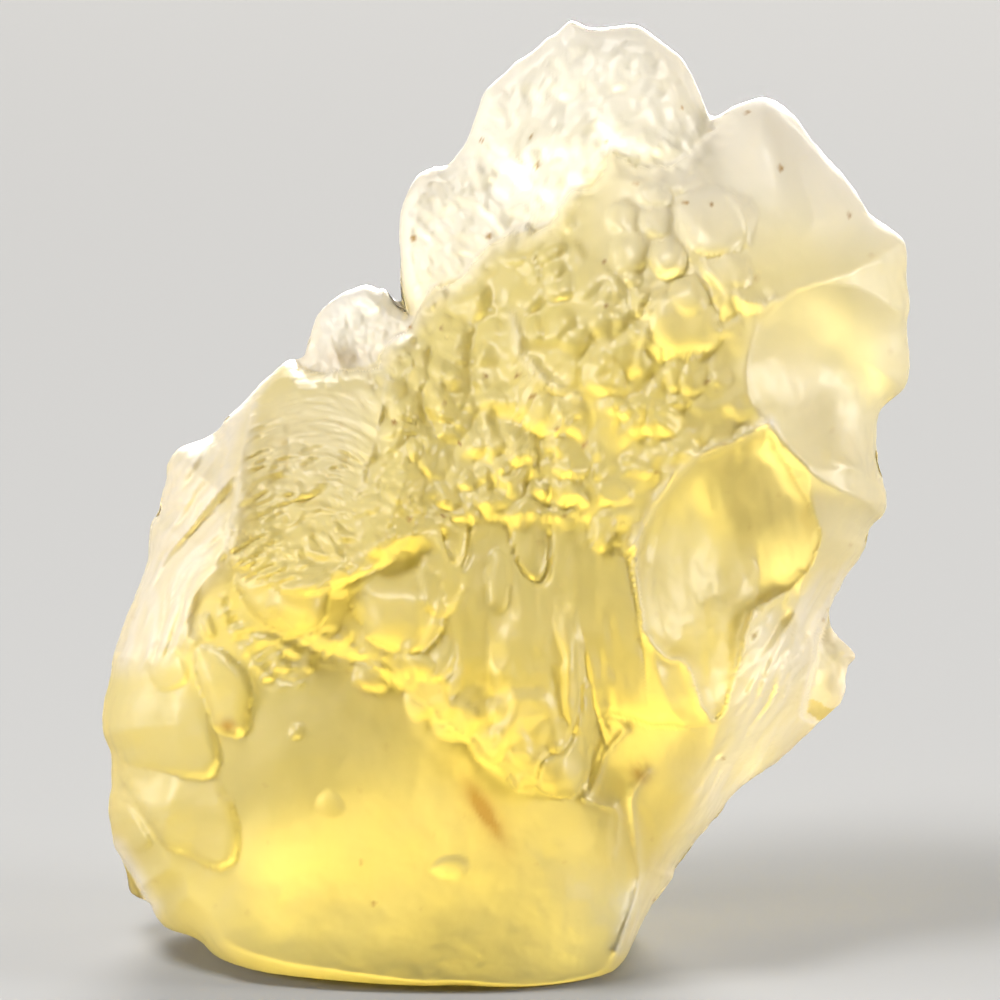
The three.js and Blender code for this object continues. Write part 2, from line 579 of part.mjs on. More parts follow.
// The fine front grid carries the rim. The coarse back grid stops one ring short of it,
// and a band of triangles joins its last ring to every second rim node.
function buildLump() {
  const points = [];
  const triangles = [];
  const frontIndex = (i, j) => j * (FRONT_CELLS + 1) + i;
  for (let j = 0; j <= FRONT_CELLS; j += 1) {
    for (let i = 0; i <= FRONT_CELLS; i += 1) {
      points.push(sheetPoint(i, j, FRONT_CELLS, "front"));
    }
  }
  const backIndex = new Map();
  const key = (i, j) => j * (BACK_CELLS + 1) + i;
  for (let j = 1; j < BACK_CELLS; j += 1) {
    for (let i = 1; i < BACK_CELLS; i += 1) {
      backIndex.set(key(i, j), points.length);
      points.push(sheetPoint(i, j, BACK_CELLS, "back"));
    }
  }
  const quad = (a, b, c, d, split) => {
    if (split) {
      triangles.push([a, b, c], [a, c, d]);
    } else {
      triangles.push([a, b, d], [b, c, d]);
    }
  };
  const leansUp = (i, j, cells) => (2 * i + 1 - cells) * (2 * j + 1 - cells) > 0;
  for (let j = 0; j < FRONT_CELLS; j += 1) {
    for (let i = 0; i < FRONT_CELLS; i += 1) {
      const near = [frontIndex(i, j), frontIndex(i + 1, j)];
      const far = [frontIndex(i + 1, j + 1), frontIndex(i, j + 1)];
      quad(...near, ...far, leansUp(i, j, FRONT_CELLS));
    }
  }
  const step = FRONT_CELLS / BACK_CELLS;
  const backNode = (i, j) => backIndex.get(key(i, j)) ?? frontIndex(i * step, j * step);
  for (let j = 0; j < BACK_CELLS; j += 1) {
    for (let i = 0; i < BACK_CELLS; i += 1) {
      const corners = [backNode(i, j), backNode(i, j + 1), backNode(i + 1, j + 1), backNode(i + 1, j)];
      quad(...corners, leansUp(i, j, BACK_CELLS));
    }
  }
  // Where the back meets the rim, each long rim run is opened to take the node between.
  const rim = rimNodes(FRONT_CELLS).map(([i, j]) => frontIndex(i, j));
  const between = new Map();
  for (let k = 0; k < rim.length; k += step) {
    between.set(`${rim[(k + step) % rim.length]}>${rim[k]}`, rim[k + 1]);
  }
  const joined = [];
  for (const [a, b, c] of triangles) {
    const runs = [[a, b, c], [b, c, a], [c, a, b]];
    const open = runs.find(([p, q]) => between.has(`${p}>${q}`));
    if (open) {
      const middle = between.get(`${open[0]}>${open[1]}`);
      joined.push([open[0], middle, open[2]], [middle, open[1], open[2]]);
    } else {
      joined.push([a, b, c]);
    }
  }
  return { points, triangles: joined };
}

function toGeometry({ points, triangles }) {
  const geometry = new THREE.BufferGeometry();
  geometry.setAttribute("position", new THREE.Float32BufferAttribute(points.flat(), 3));
  geometry.setIndex(triangles.flat());
  geometry.computeVertexNormals();
  return geometry;
}

const glass = new THREE.MeshStandardMaterial({
  color: GLASS_COLOUR,
  roughness: GLASS_ROUGHNESS,
  metalness: 0,
});

const stone = new THREE.Mesh(toGeometry(buildLump()), glass);
stone.name = "desert_glass";

const group = new THREE.Group();
group.name = "desert_glass_specimen";
group.add(stone);

export default group;
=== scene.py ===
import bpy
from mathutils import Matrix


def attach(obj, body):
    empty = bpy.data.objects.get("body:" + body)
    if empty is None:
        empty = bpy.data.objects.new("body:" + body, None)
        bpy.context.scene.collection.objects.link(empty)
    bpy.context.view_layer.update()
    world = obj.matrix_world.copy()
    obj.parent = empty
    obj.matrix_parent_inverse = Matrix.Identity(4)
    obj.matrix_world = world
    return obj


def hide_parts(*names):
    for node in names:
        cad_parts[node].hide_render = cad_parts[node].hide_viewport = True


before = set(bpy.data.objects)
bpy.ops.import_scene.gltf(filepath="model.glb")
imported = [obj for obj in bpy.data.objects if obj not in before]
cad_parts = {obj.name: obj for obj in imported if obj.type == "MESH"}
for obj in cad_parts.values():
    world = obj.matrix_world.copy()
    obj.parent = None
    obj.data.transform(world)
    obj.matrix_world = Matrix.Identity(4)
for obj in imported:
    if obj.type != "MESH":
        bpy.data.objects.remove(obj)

"""One lump of raw yellow desert glass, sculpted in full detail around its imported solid.

The stone is drawn flat, seen square on: u runs right and v runs up, both in millimetres, and
w is the height of the skin towards the viewer. The drawing is then stood up on the floor.
"""

import logging
import math
from dataclasses import dataclass, field
from enum import Enum

import bpy
import numpy as np
from mathutils import Vector

MM = 0.001
Array = np.ndarray
Course = list[tuple[float, float]]

log = logging.getLogger("desert_glass")


class Side(Enum):
    """The two skins of the stone."""

    FRONT = "front"
    BACK = "back"


# Outline of the stone, clockwise from the notch left of the tall crest, millimetres.
CREST_EDGE: Course = [
    (-4.55, 33.75), (-4.85, 34.5), (-4.95, 35.5), (-5.0, 37.0), (-5.1, 37.65), (-5.0, 38.75),
    (-4.85, 39.5), (-4.5, 40.25), (-4.15, 40.85), (-3.4, 41.2), (-2.7, 41.2), (-2.25, 41.65),
    (-1.6, 42.6), (-1.4, 43.25), (-1.2, 43.9), (-0.95, 44.5), (-0.85, 45.0), (-0.25, 45.5),
    (0.4, 46.0), (0.75, 46.5), (1.35, 46.85), (2.0, 47.35), (2.35, 47.8), (2.75, 47.9),
    (3.15, 48.3), (3.4, 48.6), (3.75, 48.65), (4.25, 48.3), (4.85, 48.2), (5.6, 48.2),
    (6.25, 48.3), (6.85, 48.3), (7.5, 48.0), (8.4, 47.2), (8.9, 46.9), (9.25, 46.5),
    (9.65, 45.85), (9.85, 45.3), (10.15, 44.65), (10.4, 43.9), (10.6, 43.65),
]
RIGHT_EDGE: Course = [
    (11.0, 43.75), (11.5, 44.15), (12.1, 44.4), (13.1, 44.7), (13.5, 44.6), (14.0, 44.35),
    (14.5, 44.0), (15.0, 43.5), (15.5, 42.75), (16.0, 42.15), (16.6, 41.4), (17.1, 40.9),
    (17.5, 40.4), (18.1, 39.5), (18.5, 38.85), (19.0, 38.45), (20.0, 37.75), (20.3, 37.35),
    (20.4, 36.5), (20.35, 35.5), (20.55, 34.1), (20.4, 33.5), (20.35, 32.75), (20.55, 31.6),
    (20.4, 30.25), (20.0, 29.75), (19.35, 29.4), (19.0, 28.9), (18.85, 28.25), (18.8, 27.0),
    (18.9, 26.1), (19.2, 25.5), (19.4, 24.5), (19.2, 23.65), (18.75, 23.4), (18.4, 22.9),
    (18.25, 21.85), (17.4, 20.75), (16.9, 19.9), (16.55, 19.0), (16.5, 18.4),
]
BACK_FLAKE_EDGE: Course = [
    (16.75, 17.9), (17.15, 17.5), (17.6, 17.1), (18.0, 16.6), (17.5, 16.25), (17.35, 15.5),
    (17.4, 14.75), (16.9, 14.1),
]
LOWER_RIGHT_EDGE: Course = [
    (15.75, 13.1), (15.0, 12.4), (14.25, 11.65), (13.5, 11.1), (12.25, 10.25), (11.5, 9.5),
    (11.0, 8.85), (10.4, 8.15), (9.75, 7.4), (9.0, 6.4), (8.7, 6.0), (8.7, 5.6), (8.25, 5.1),
    (7.65, 4.3), (7.25, 3.6), (6.9, 2.9), (6.65, 2.4), (6.35, 1.6), (6.0, 0.9), (5.75, 0.6),
]
FOOT_EDGE: Course = [
    (5.0, 0.25), (4.0, 0.0), (2.5, -0.15), (0.0, -0.05), (-2.0, 0.1), (-4.0, -0.05),
    (-6.5, 0.05), (-8.5, 0.2), (-10.5, 0.4), (-11.9, 0.65), (-13.0, 1.0), (-13.9, 1.45),
    (-14.4, 1.8), (-15.0, 2.4),
]
LEFT_EDGE: Course = [
    (-15.5, 2.65), (-16.1, 2.8), (-17.0, 3.2), (-17.4, 3.9), (-17.6, 4.3), (-18.55, 4.65),
    (-18.65, 5.3), (-18.65, 5.75), (-18.85, 6.2), (-19.15, 6.75), (-19.4, 7.5),
    (-19.6, 8.75), (-19.6, 9.75), (-19.45, 10.25), (-19.45, 11.65), (-19.7, 12.2),
    (-19.95, 12.85), (-19.85, 13.9), (-19.7, 14.9), (-19.5, 15.5), (-19.4, 16.3),
    (-19.35, 16.9), (-19.0, 17.8), (-18.65, 18.9), (-18.3, 19.65), (-18.0, 20.5),
    (-17.85, 20.9), (-17.6, 21.6), (-17.55, 22.9), (-17.4, 23.45), (-17.0, 23.9),
    (-16.95, 24.75), (-16.7, 25.4), (-16.7, 26.0), (-16.5, 26.6), (-16.0, 27.2),
    (-15.0, 27.5), (-14.25, 27.9), (-13.6, 28.7), (-12.75, 29.5), (-12.0, 30.3),
    (-11.25, 31.05), (-10.7, 31.5), (-10.0, 31.55),
]
SMALL_CREST_EDGE: Course = [
    (-9.75, 31.9), (-9.55, 32.5), (-9.4, 33.25), (-9.1, 33.9), (-8.75, 34.35),
    (-8.25, 34.65), (-7.75, 35.0), (-7.15, 35.2), (-6.75, 35.35), (-6.4, 35.2),
    (-6.1, 35.05), (-5.8, 35.15), (-5.6, 34.95), (-5.25, 34.25), (-5.0, 34.15),
    (-4.7, 33.9),
]

# Heights of the front skin, as posts it is stretched over: right, up, height.
FRONT_POSTS = [
    (-3.5, 34.0, 2.6), (0.3, 37.3, 2.8), (3.0, 38.6, 3.0), (5.6, 41.6, 2.6), (8.0, 41.2, 3.0),
    (10.8, 42.0, 1.0), (13.5, 42.5, 2.6), (15.5, 39.5, 4.6), (18.0, 37.0, 4.2),
    (19.0, 35.6, 3.8), (12.0, 37.5, 6.4), (9.0, 36.5, 7.0), (5.0, 36.5, 6.0), (2.0, 34.5, 5.4),
    (-1.5, 32.0, 5.4), (-5.0, 30.8, 5.2), (-8.0, 30.8, 4.6), (-11.0, 29.6, 3.6),
    (-12.4, 27.5, 6.0), (-13.1, 23.8, 7.6), (-14.0, 20.8, 8.2), (-15.4, 17.5, 7.8),
    (-9.5, 25.5, 8.4), (-6.0, 27.5, 8.0), (-3.0, 26.0, 8.8), (1.0, 26.5, 8.8), (5.0, 25.5, 9.4),
    (8.0, 29.5, 8.4), (12.7, 33.0, 8.2), (15.0, 35.2, 7.2), (17.6, 35.8, 5.4),
    (17.0, 31.0, 6.0), (13.2, 28.3, 8.9), (10.2, 27.1, 9.3), (6.8, 22.4, 9.6),
    (11.5, 23.0, 8.0), (16.0, 25.4, 7.0), (18.3, 24.2, 4.2), (15.5, 21.0, 5.6),
    (11.6, 17.0, 7.6), (10.9, 13.6, 7.6), (8.0, 15.5, 8.8), (13.6, 15.5, 4.6), (9.4, 9.6, 5.6),
    (7.0, 7.2, 6.0), (6.2, 3.4, 5.6), (5.0, 11.2, 8.4), (2.0, 17.5, 10.2), (-2.5, 17.0, 10.2),
    (-8.0, 17.8, 9.4), (-10.5, 12.0, 10.2), (-5.0, 9.0, 10.8), (0.0, 6.0, 10.2),
    (4.0, 4.0, 8.2), (-6.0, 2.0, 9.4), (-12.0, 4.5, 8.2), (-15.5, 7.5, 6.4),
    (-16.5, 12.0, 6.6), (0.5, 1.6, 9.0), (16.2, 17.6, 0.6), (15.6, 14.6, -0.8),
    (13.4, 12.4, 0.6), (11.2, 10.6, 1.8), (9.6, 8.0, 2.4), (7.6, 5.4, 3.2),
]
CREST_POSTS = [
    (5.0, 46.5, -3.2), (3.0, 44.0, -2.4), (7.5, 44.5, -2.2), (9.6, 43.2, -1.4),
    (0.0, 41.0, -2.6), (3.5, 40.5, -1.4), (-3.5, 38.5, -3.2), (-2.0, 36.5, -2.2),
    (-3.6, 35.0, -2.4), (-8.2, 33.0, -3.6), (-6.5, 33.4, -3.2), (-8.5, 31.4, -2.6),
    (8.0, 42.2, -0.6),
]
BACK_POSTS = [
    (-6.0, 1.5, -8.6), (3.0, 1.5, -7.2), (-13.0, 4.5, -8.0), (-17.0, 9.0, -6.6),
    (-10.0, 10.0, -10.4), (0.0, 10.0, -10.8), (8.0, 9.0, -7.4), (-15.5, 18.0, -7.8),
    (-8.0, 20.0, -11.4), (2.0, 20.0, -12.0), (10.0, 18.0, -10.0), (14.5, 16.0, -8.0),
    (-12.5, 26.0, -8.2), (-4.0, 28.0, -10.6), (5.0, 28.0, -11.0), (13.0, 27.0, -9.4),
    (17.5, 29.0, -6.8), (17.0, 35.0, -6.4), (11.0, 36.0, -8.6), (3.0, 36.0, -8.8),
    (-3.0, 37.0, -7.6), (-7.5, 33.0, -7.6), (13.5, 41.5, -5.6), (7.0, 42.0, -7.2),
    (2.0, 43.0, -6.9), (5.5, 46.5, -6.4),
]

# Top rim of the front mass, closed by a wide loop round the rest of the stone.
FRONT_MASS: Course = [
    (-14.0, 35.0), (-10.4, 31.4), (-10.0, 31.0), (-8.4, 30.7), (-7.75, 31.0), (-6.25, 31.2),
    (-6.0, 31.9), (-5.0, 32.45), (-4.5, 32.9), (-4.0, 34.0), (-3.5, 34.85), (-2.75, 35.45),
    (-1.75, 35.55), (-1.25, 36.4), (-0.75, 37.0), (0.25, 37.65), (1.0, 37.8), (2.25, 38.05),
    (3.0, 38.9), (3.6, 39.75), (4.5, 40.5), (4.9, 41.25), (5.6, 42.0), (6.25, 41.65),
    (7.5, 41.4), (9.6, 41.6), (10.5, 42.9), (10.6, 44.0), (10.6, 50.0), (40.0, 50.0),
    (40.0, -20.0), (-40.0, -20.0), (-40.0, 35.0),
]
BUBBLED_ZONE: Course = [
    (-6.0, 29.5), (-3.0, 32.0), (0.0, 33.0), (3.0, 29.5), (7.0, 30.5), (10.0, 30.0),
    (13.0, 28.3), (10.0, 27.0), (7.75, 24.5), (6.5, 22.25), (5.0, 22.25), (4.5, 23.75),
    (1.0, 23.75), (-1.5, 23.0), (-4.0, 22.5), (-6.0, 21.5), (-6.75, 24.5), (-6.25, 27.5),
]
LUMPED_ZONE: Course = [
    (-7.0, 30.5), (-4.0, 33.0), (-1.0, 36.0), (3.0, 38.0), (5.5, 41.0), (9.5, 40.8),
    (10.0, 38.0), (12.5, 35.5), (12.0, 31.0), (12.9, 28.5), (10.0, 27.0), (7.5, 24.3),
    (4.5, 23.6), (-2.0, 23.3), (-6.0, 21.5), (-7.0, 24.0), (-6.4, 28.0),
]
COLUMN_ZONE: Course = [
    (-4.0, 23.2), (1.0, 23.8), (6.5, 22.4), (6.9, 19.5), (7.2, 14.0), (4.4, 12.0), (3.8, 9.9),
    (1.0, 10.4), (-2.0, 13.0), (-3.6, 15.0), (-4.4, 18.0),
]
BOWL_ZONE: Course = [
    (-12.25, 29.5), (-10.0, 30.6), (-7.75, 30.6), (-5.75, 30.25), (-6.25, 28.0),
    (-6.75, 26.0), (-7.0, 24.5), (-7.25, 23.0), (-6.75, 21.5), (-8.5, 20.0), (-11.0, 20.0),
    (-13.4, 21.0), (-13.6, 22.5), (-13.1, 25.0), (-12.5, 27.5),
]
LEFT_FLANK_ZONE: Course = [
    (-11.0, 31.5), (-12.4, 29.4), (-13.0, 26.0), (-13.6, 22.5), (-15.2, 19.9), (-15.5, 16.8),
    (-20.5, 15.5), (-20.5, 24.0), (-17.0, 28.5),
]
RIGHT_FLANK_ZONE: Course = [
    (13.75, 19.6), (12.5, 19.0), (11.9, 15.5), (11.3, 13.7), (10.0, 10.5), (9.3, 8.5),
    (7.0, 5.0), (6.0, 2.0), (9.0, 1.0), (24.0, 12.0), (24.0, 20.0), (18.0, 22.5),
]
CHUTE_ZONE: Course = [
    (6.6, 22.2), (7.0, 23.0), (7.75, 24.25), (9.0, 25.5), (10.0, 26.75), (12.0, 27.5),
    (13.2, 27.7), (14.2, 26.2), (15.4, 24.6), (16.0, 22.6), (15.6, 21.0), (13.75, 19.6),
    (12.5, 19.0), (12.0, 17.5), (11.75, 15.5), (11.2, 13.6), (10.6, 13.4), (10.0, 14.6),
    (9.5, 15.75), (9.0, 16.6), (8.25, 16.75), (7.15, 17.75), (7.0, 19.0), (6.8, 20.75),
]
LEFT_RUBBLE_ZONE: Course = [
    (-13.6, 19.9), (-13.0, 19.0), (-11.9, 17.6), (-9.6, 18.2), (-9.1, 16.6), (-9.75, 15.2),
    (-11.5, 15.0), (-12.5, 16.25), (-13.4, 18.0), (-14.2, 19.4),
]
MID_RUBBLE_ZONE: Course = [
    (-9.5, 18.25), (-7.6, 18.2), (-6.4, 17.2), (-5.2, 16.6), (-5.4, 15.6), (-7.0, 16.2),
    (-9.2, 16.3),
]


@dataclass(frozen=True)
class EdgeStation:
    """The rim of the stone at one bearing from its heart.

    bearing is in degrees, height is w of the rim, front and back are how far inwards each
    skin takes to round over.
    """

    bearing: float
    height: float
    front: float
    back: float


@dataclass(frozen=True)
class Scoop:
    """An elliptical hollow with a crisp brim."""

    centre: tuple[float, float]
    half: tuple[float, float]
    turn: float
    depth: float


@dataclass(frozen=True)
class Blister:
    """A round-topped swelling; squareness above 1 gives it a flatter top."""

    centre: tuple[float, float]
    half: tuple[float, float]
    turn: float
    height: float
    squareness: float = 1.0


@dataclass(frozen=True)
class Stain:
    """A soft-edged patch, strongest in its middle."""

    centre: tuple[float, float]
    half: tuple[float, float]
    turn: float
    strength: float


@dataclass(frozen=True)
class Plate:
    """A region raised (or sunk) with a rounded shoulder.

    It sinks back into the skin below the level given by fade_top, over fade_length.
    """

    shape: Course
    height: float
    shoulder: float
    fade_top: float = 90.0
    fade_length: float = 1.0


@dataclass(frozen=True)
class Brim:
    """A narrow crest (or groove) along a course."""

    course: Course
    height: float
    width: float


SMEARS = [
    Stain((7.0, 11.0), (0.5, 0.6), 0, 1.0), Stain((-13.5, 13.3), (0.45, 0.35), 0, 1.0),
    Stain((-6.5, 15.3), (0.5, 0.5), 0, 0.5), Stain((-8.0, 31.7), (1.1, 0.5), 0, 0.4),
]
EDGE_STATIONS = [EdgeStation(*row) for row in [
    (-176, -2.5, 4.5, 4.0), (-150, -2.5, 4.0, 3.5), (-137, -3.5, 2.5, 3.0),
    (-125, -0.5, 1.2, 2.2), (-90, 0.0, 0.5, 1.0), (-75, -0.5, 0.8, 1.2), (-60, -2.5, 1.6, 2.0),
    (-30, -4.0, 1.6, 2.0), (-16, -5.5, 1.4, 1.2), (-5, -3.0, 3.0, 2.4), (20, -2.0, 2.4, 2.6),
    (45, -1.5, 3.6, 3.0), (62, -2.5, 2.6, 2.2), (67, -4.2, 1.0, 1.4), (90, -5.0, 0.9, 1.2),
    (110, -5.2, 0.6, 1.2), (122, -5.6, 0.9, 1.4), (136, -3.5, 2.6, 2.4), (160, -3.0, 3.6, 3.6),
]]
FLAKES = [
    Plate([(15.9, 17.6), (15.75, 16.5), (15.4, 15.0), (15.2, 13.8), (22.0, 9.0), (22.0, 19.5),
           (16.4, 18.9)], -4.4, 0.5),
    Plate([(-19.2, 7.0), (-18.25, 5.5), (-17.5, 4.2), (-18.5, 2.5), (-22.0, 3.0),
           (-22.0, 7.5)], -4.0, 0.4),
]
FRONT_SCOOPS = [
    Scoop((-9.4, 26.0), (4.6, 6.2), -12, 1.7),
    Scoop((16.7, 30.6), (4.5, 4.6), 0, 2.9),
    Scoop((11.5, 21.2), (3.9, 8.6), -8, 1.7),
    Scoop((6.8, 6.6), (1.4, 3.2), 10, 0.5),
]
BACK_SCOOPS = [
    Scoop((-9.0, 16.0), (7.5, 6.0), 20, 2.6),
    Scoop((3.0, 24.0), (7.0, 6.4), -25, 2.8),
    Scoop((12.5, 31.0), (6.0, 6.6), 10, 2.2),
    Scoop((-4.5, 32.0), (5.0, 5.0), 0, 1.7),
    Scoop((5.0, 38.5), (5.2, 4.6), 0, 1.2),
    Scoop((6.5, 12.0), (6.0, 5.4), -30, 2.3),
    Scoop((-13.5, 24.5), (3.8, 4.6), 0, 1.5),
    Scoop((-3.0, 6.5), (6.6, 4.4), 0, 1.6),
]
HOLLOWS = [Plate(CHUTE_ZONE, -1.0, 1.0)]
PLATES = [
    # The apron of run glass above the smooth lower face.
    Plate([(-12.5, 20.5), (-9.5, 17.0), (-7.0, 16.6), (-5.25, 15.4), (-4.0, 14.9),
           (-3.0, 13.75), (-2.0, 12.75), (-1.25, 12.25), (0.5, 11.0), (0.7, 10.3), (1.1, 10.0),
           (1.6, 10.2), (2.8, 9.7), (3.8, 9.95), (4.2, 10.8), (4.45, 12.5), (5.2, 13.8),
           (6.2, 13.7), (7.5, 13.4), (9.5, 13.2), (11.0, 13.4), (11.75, 15.5), (13.0, 20.0),
           (13.0, 28.0), (5.0, 31.0), (-6.0, 29.0)], 1.3, 1.7, 24.0, 8.0),
    # The long middle tongue and the narrow one beside it.
    Plate([(-0.65, 15.0), (-0.6, 13.5), (0.0, 12.25), (1.0, 11.25), (1.6, 10.3), (2.25, 9.85),
           (3.0, 9.75), (3.8, 10.0), (4.15, 11.0), (4.25, 12.5), (3.9, 14.5), (3.6, 17.5),
           (3.4, 21.5), (-0.6, 21.5), (-0.6, 17.5)], 0.8, 1.2, 20.5, 7.0),
    Plate([(2.6, 19.0), (3.0, 16.5), (3.25, 14.0), (3.4, 13.1), (3.9, 12.7), (4.5, 12.8),
           (4.65, 14.0), (4.4, 15.5), (4.1, 17.5), (3.9, 19.5), (3.6, 23.0), (2.9, 23.0)],
          0.45, 0.5, 21.0, 6.0),
    # The rippled bowl's belly, hanging over the lobes, and the lobes under it.
    Plate([(-13.7, 22.2), (-13.2, 21.1), (-12.2, 20.5), (-10.6, 19.9), (-9.0, 19.9),
           (-7.6, 20.3), (-6.2, 21.0), (-4.6, 21.8), (-4.2, 23.4), (-5.0, 26.0), (-7.0, 29.0),
           (-12.4, 29.0), (-13.2, 25.0)], 1.7, 1.7, 27.0, 7.0),
    Plate([(-13.25, 20.75), (-12.75, 19.75), (-12.1, 18.9), (-11.25, 17.95), (-10.25, 17.8),
           (-9.25, 18.1), (-8.4, 18.9), (-8.25, 19.75), (-8.4, 21.4), (-12.6, 21.6)],
          1.6, 1.5, 21.6, 1.8),
    Plate([(-7.5, 19.5), (-7.0, 18.0), (-6.0, 17.1), (-4.75, 16.9), (-3.5, 17.15),
           (-2.75, 18.25), (-2.7, 20.0), (-3.5, 21.6), (-7.6, 21.6)], 1.5, 1.6, 21.8, 2.4),
    Plate([(-5.2, 17.2), (-4.9, 16.3), (-4.0, 15.6), (-3.0, 15.4), (-2.3, 16.2), (-2.2, 17.8),
           (-3.4, 18.2)], 0.7, 0.9, 18.2, 1.5),
    # Thin pads on the lower left flank, crisp below and running out above.
    Plate([(-19.8, 15.8), (-19.6, 12.2), (-18.6, 11.3), (-17.2, 11.2), (-16.2, 10.8),
           (-15.0, 10.5), (-14.2, 10.9), (-14.0, 12.0), (-14.6, 14.0), (-15.2, 16.2),
           (-18.0, 16.6)], 0.55, 0.7, 15.8, 3.4),
    Plate([(-19.3, 11.0), (-17.7, 8.9), (-16.5, 7.2), (-15.3, 6.6), (-14.3, 6.2),
           (-13.2, 6.4), (-12.9, 7.4), (-13.2, 8.6), (-13.8, 10.2), (-14.6, 11.6),
           (-18.0, 12.0)], 0.5, 0.65, 11.6, 3.0),
    Plate([(-19.8, 10.0), (-18.75, 9.5), (-17.75, 8.6), (-17.25, 7.6), (-17.6, 7.1),
           (-18.75, 7.1), (-20.0, 7.4)], 0.45, 0.35, 10.4, 2.0),
    Plate([(-15.25, 17.5), (-14.0, 17.25), (-13.0, 16.5), (-12.4, 15.25), (-12.5, 14.0),
           (-12.85, 12.6), (-13.5, 12.85), (-14.25, 13.1), (-14.75, 14.5), (-15.2, 15.5)],
          0.7, 0.8, 19.0, 4.0),
    Plate([(-17.5, 17.4), (-16.2, 17.2), (-15.5, 16.2), (-15.7, 15.2), (-16.8, 15.0),
           (-17.6, 15.9)], 0.2, 0.4),
    # The bubbled mass stands a little proud of the smooth columns under it.
    Plate([(-4.0, 23.0), (-2.0, 23.4), (-0.25, 23.25), (1.0, 23.75), (3.0, 23.8), (4.5, 23.6),
           (4.85, 22.4), (6.0, 22.35), (6.6, 22.1), (7.0, 23.0), (7.75, 24.25), (9.0, 25.5),
           (10.0, 26.75), (12.5, 28.0), (13.0, 33.0), (5.0, 38.0), (-4.0, 33.0)],
          0.18, 0.9, 28.0, 3.0),
    # Facets beside the lower end of the chute.
    Plate([(4.4, 9.7), (5.0, 11.4), (5.6, 12.5), (6.3, 13.1), (5.4, 13.6), (4.6, 12.4),
           (4.2, 10.6)], -0.3, 0.3),
]
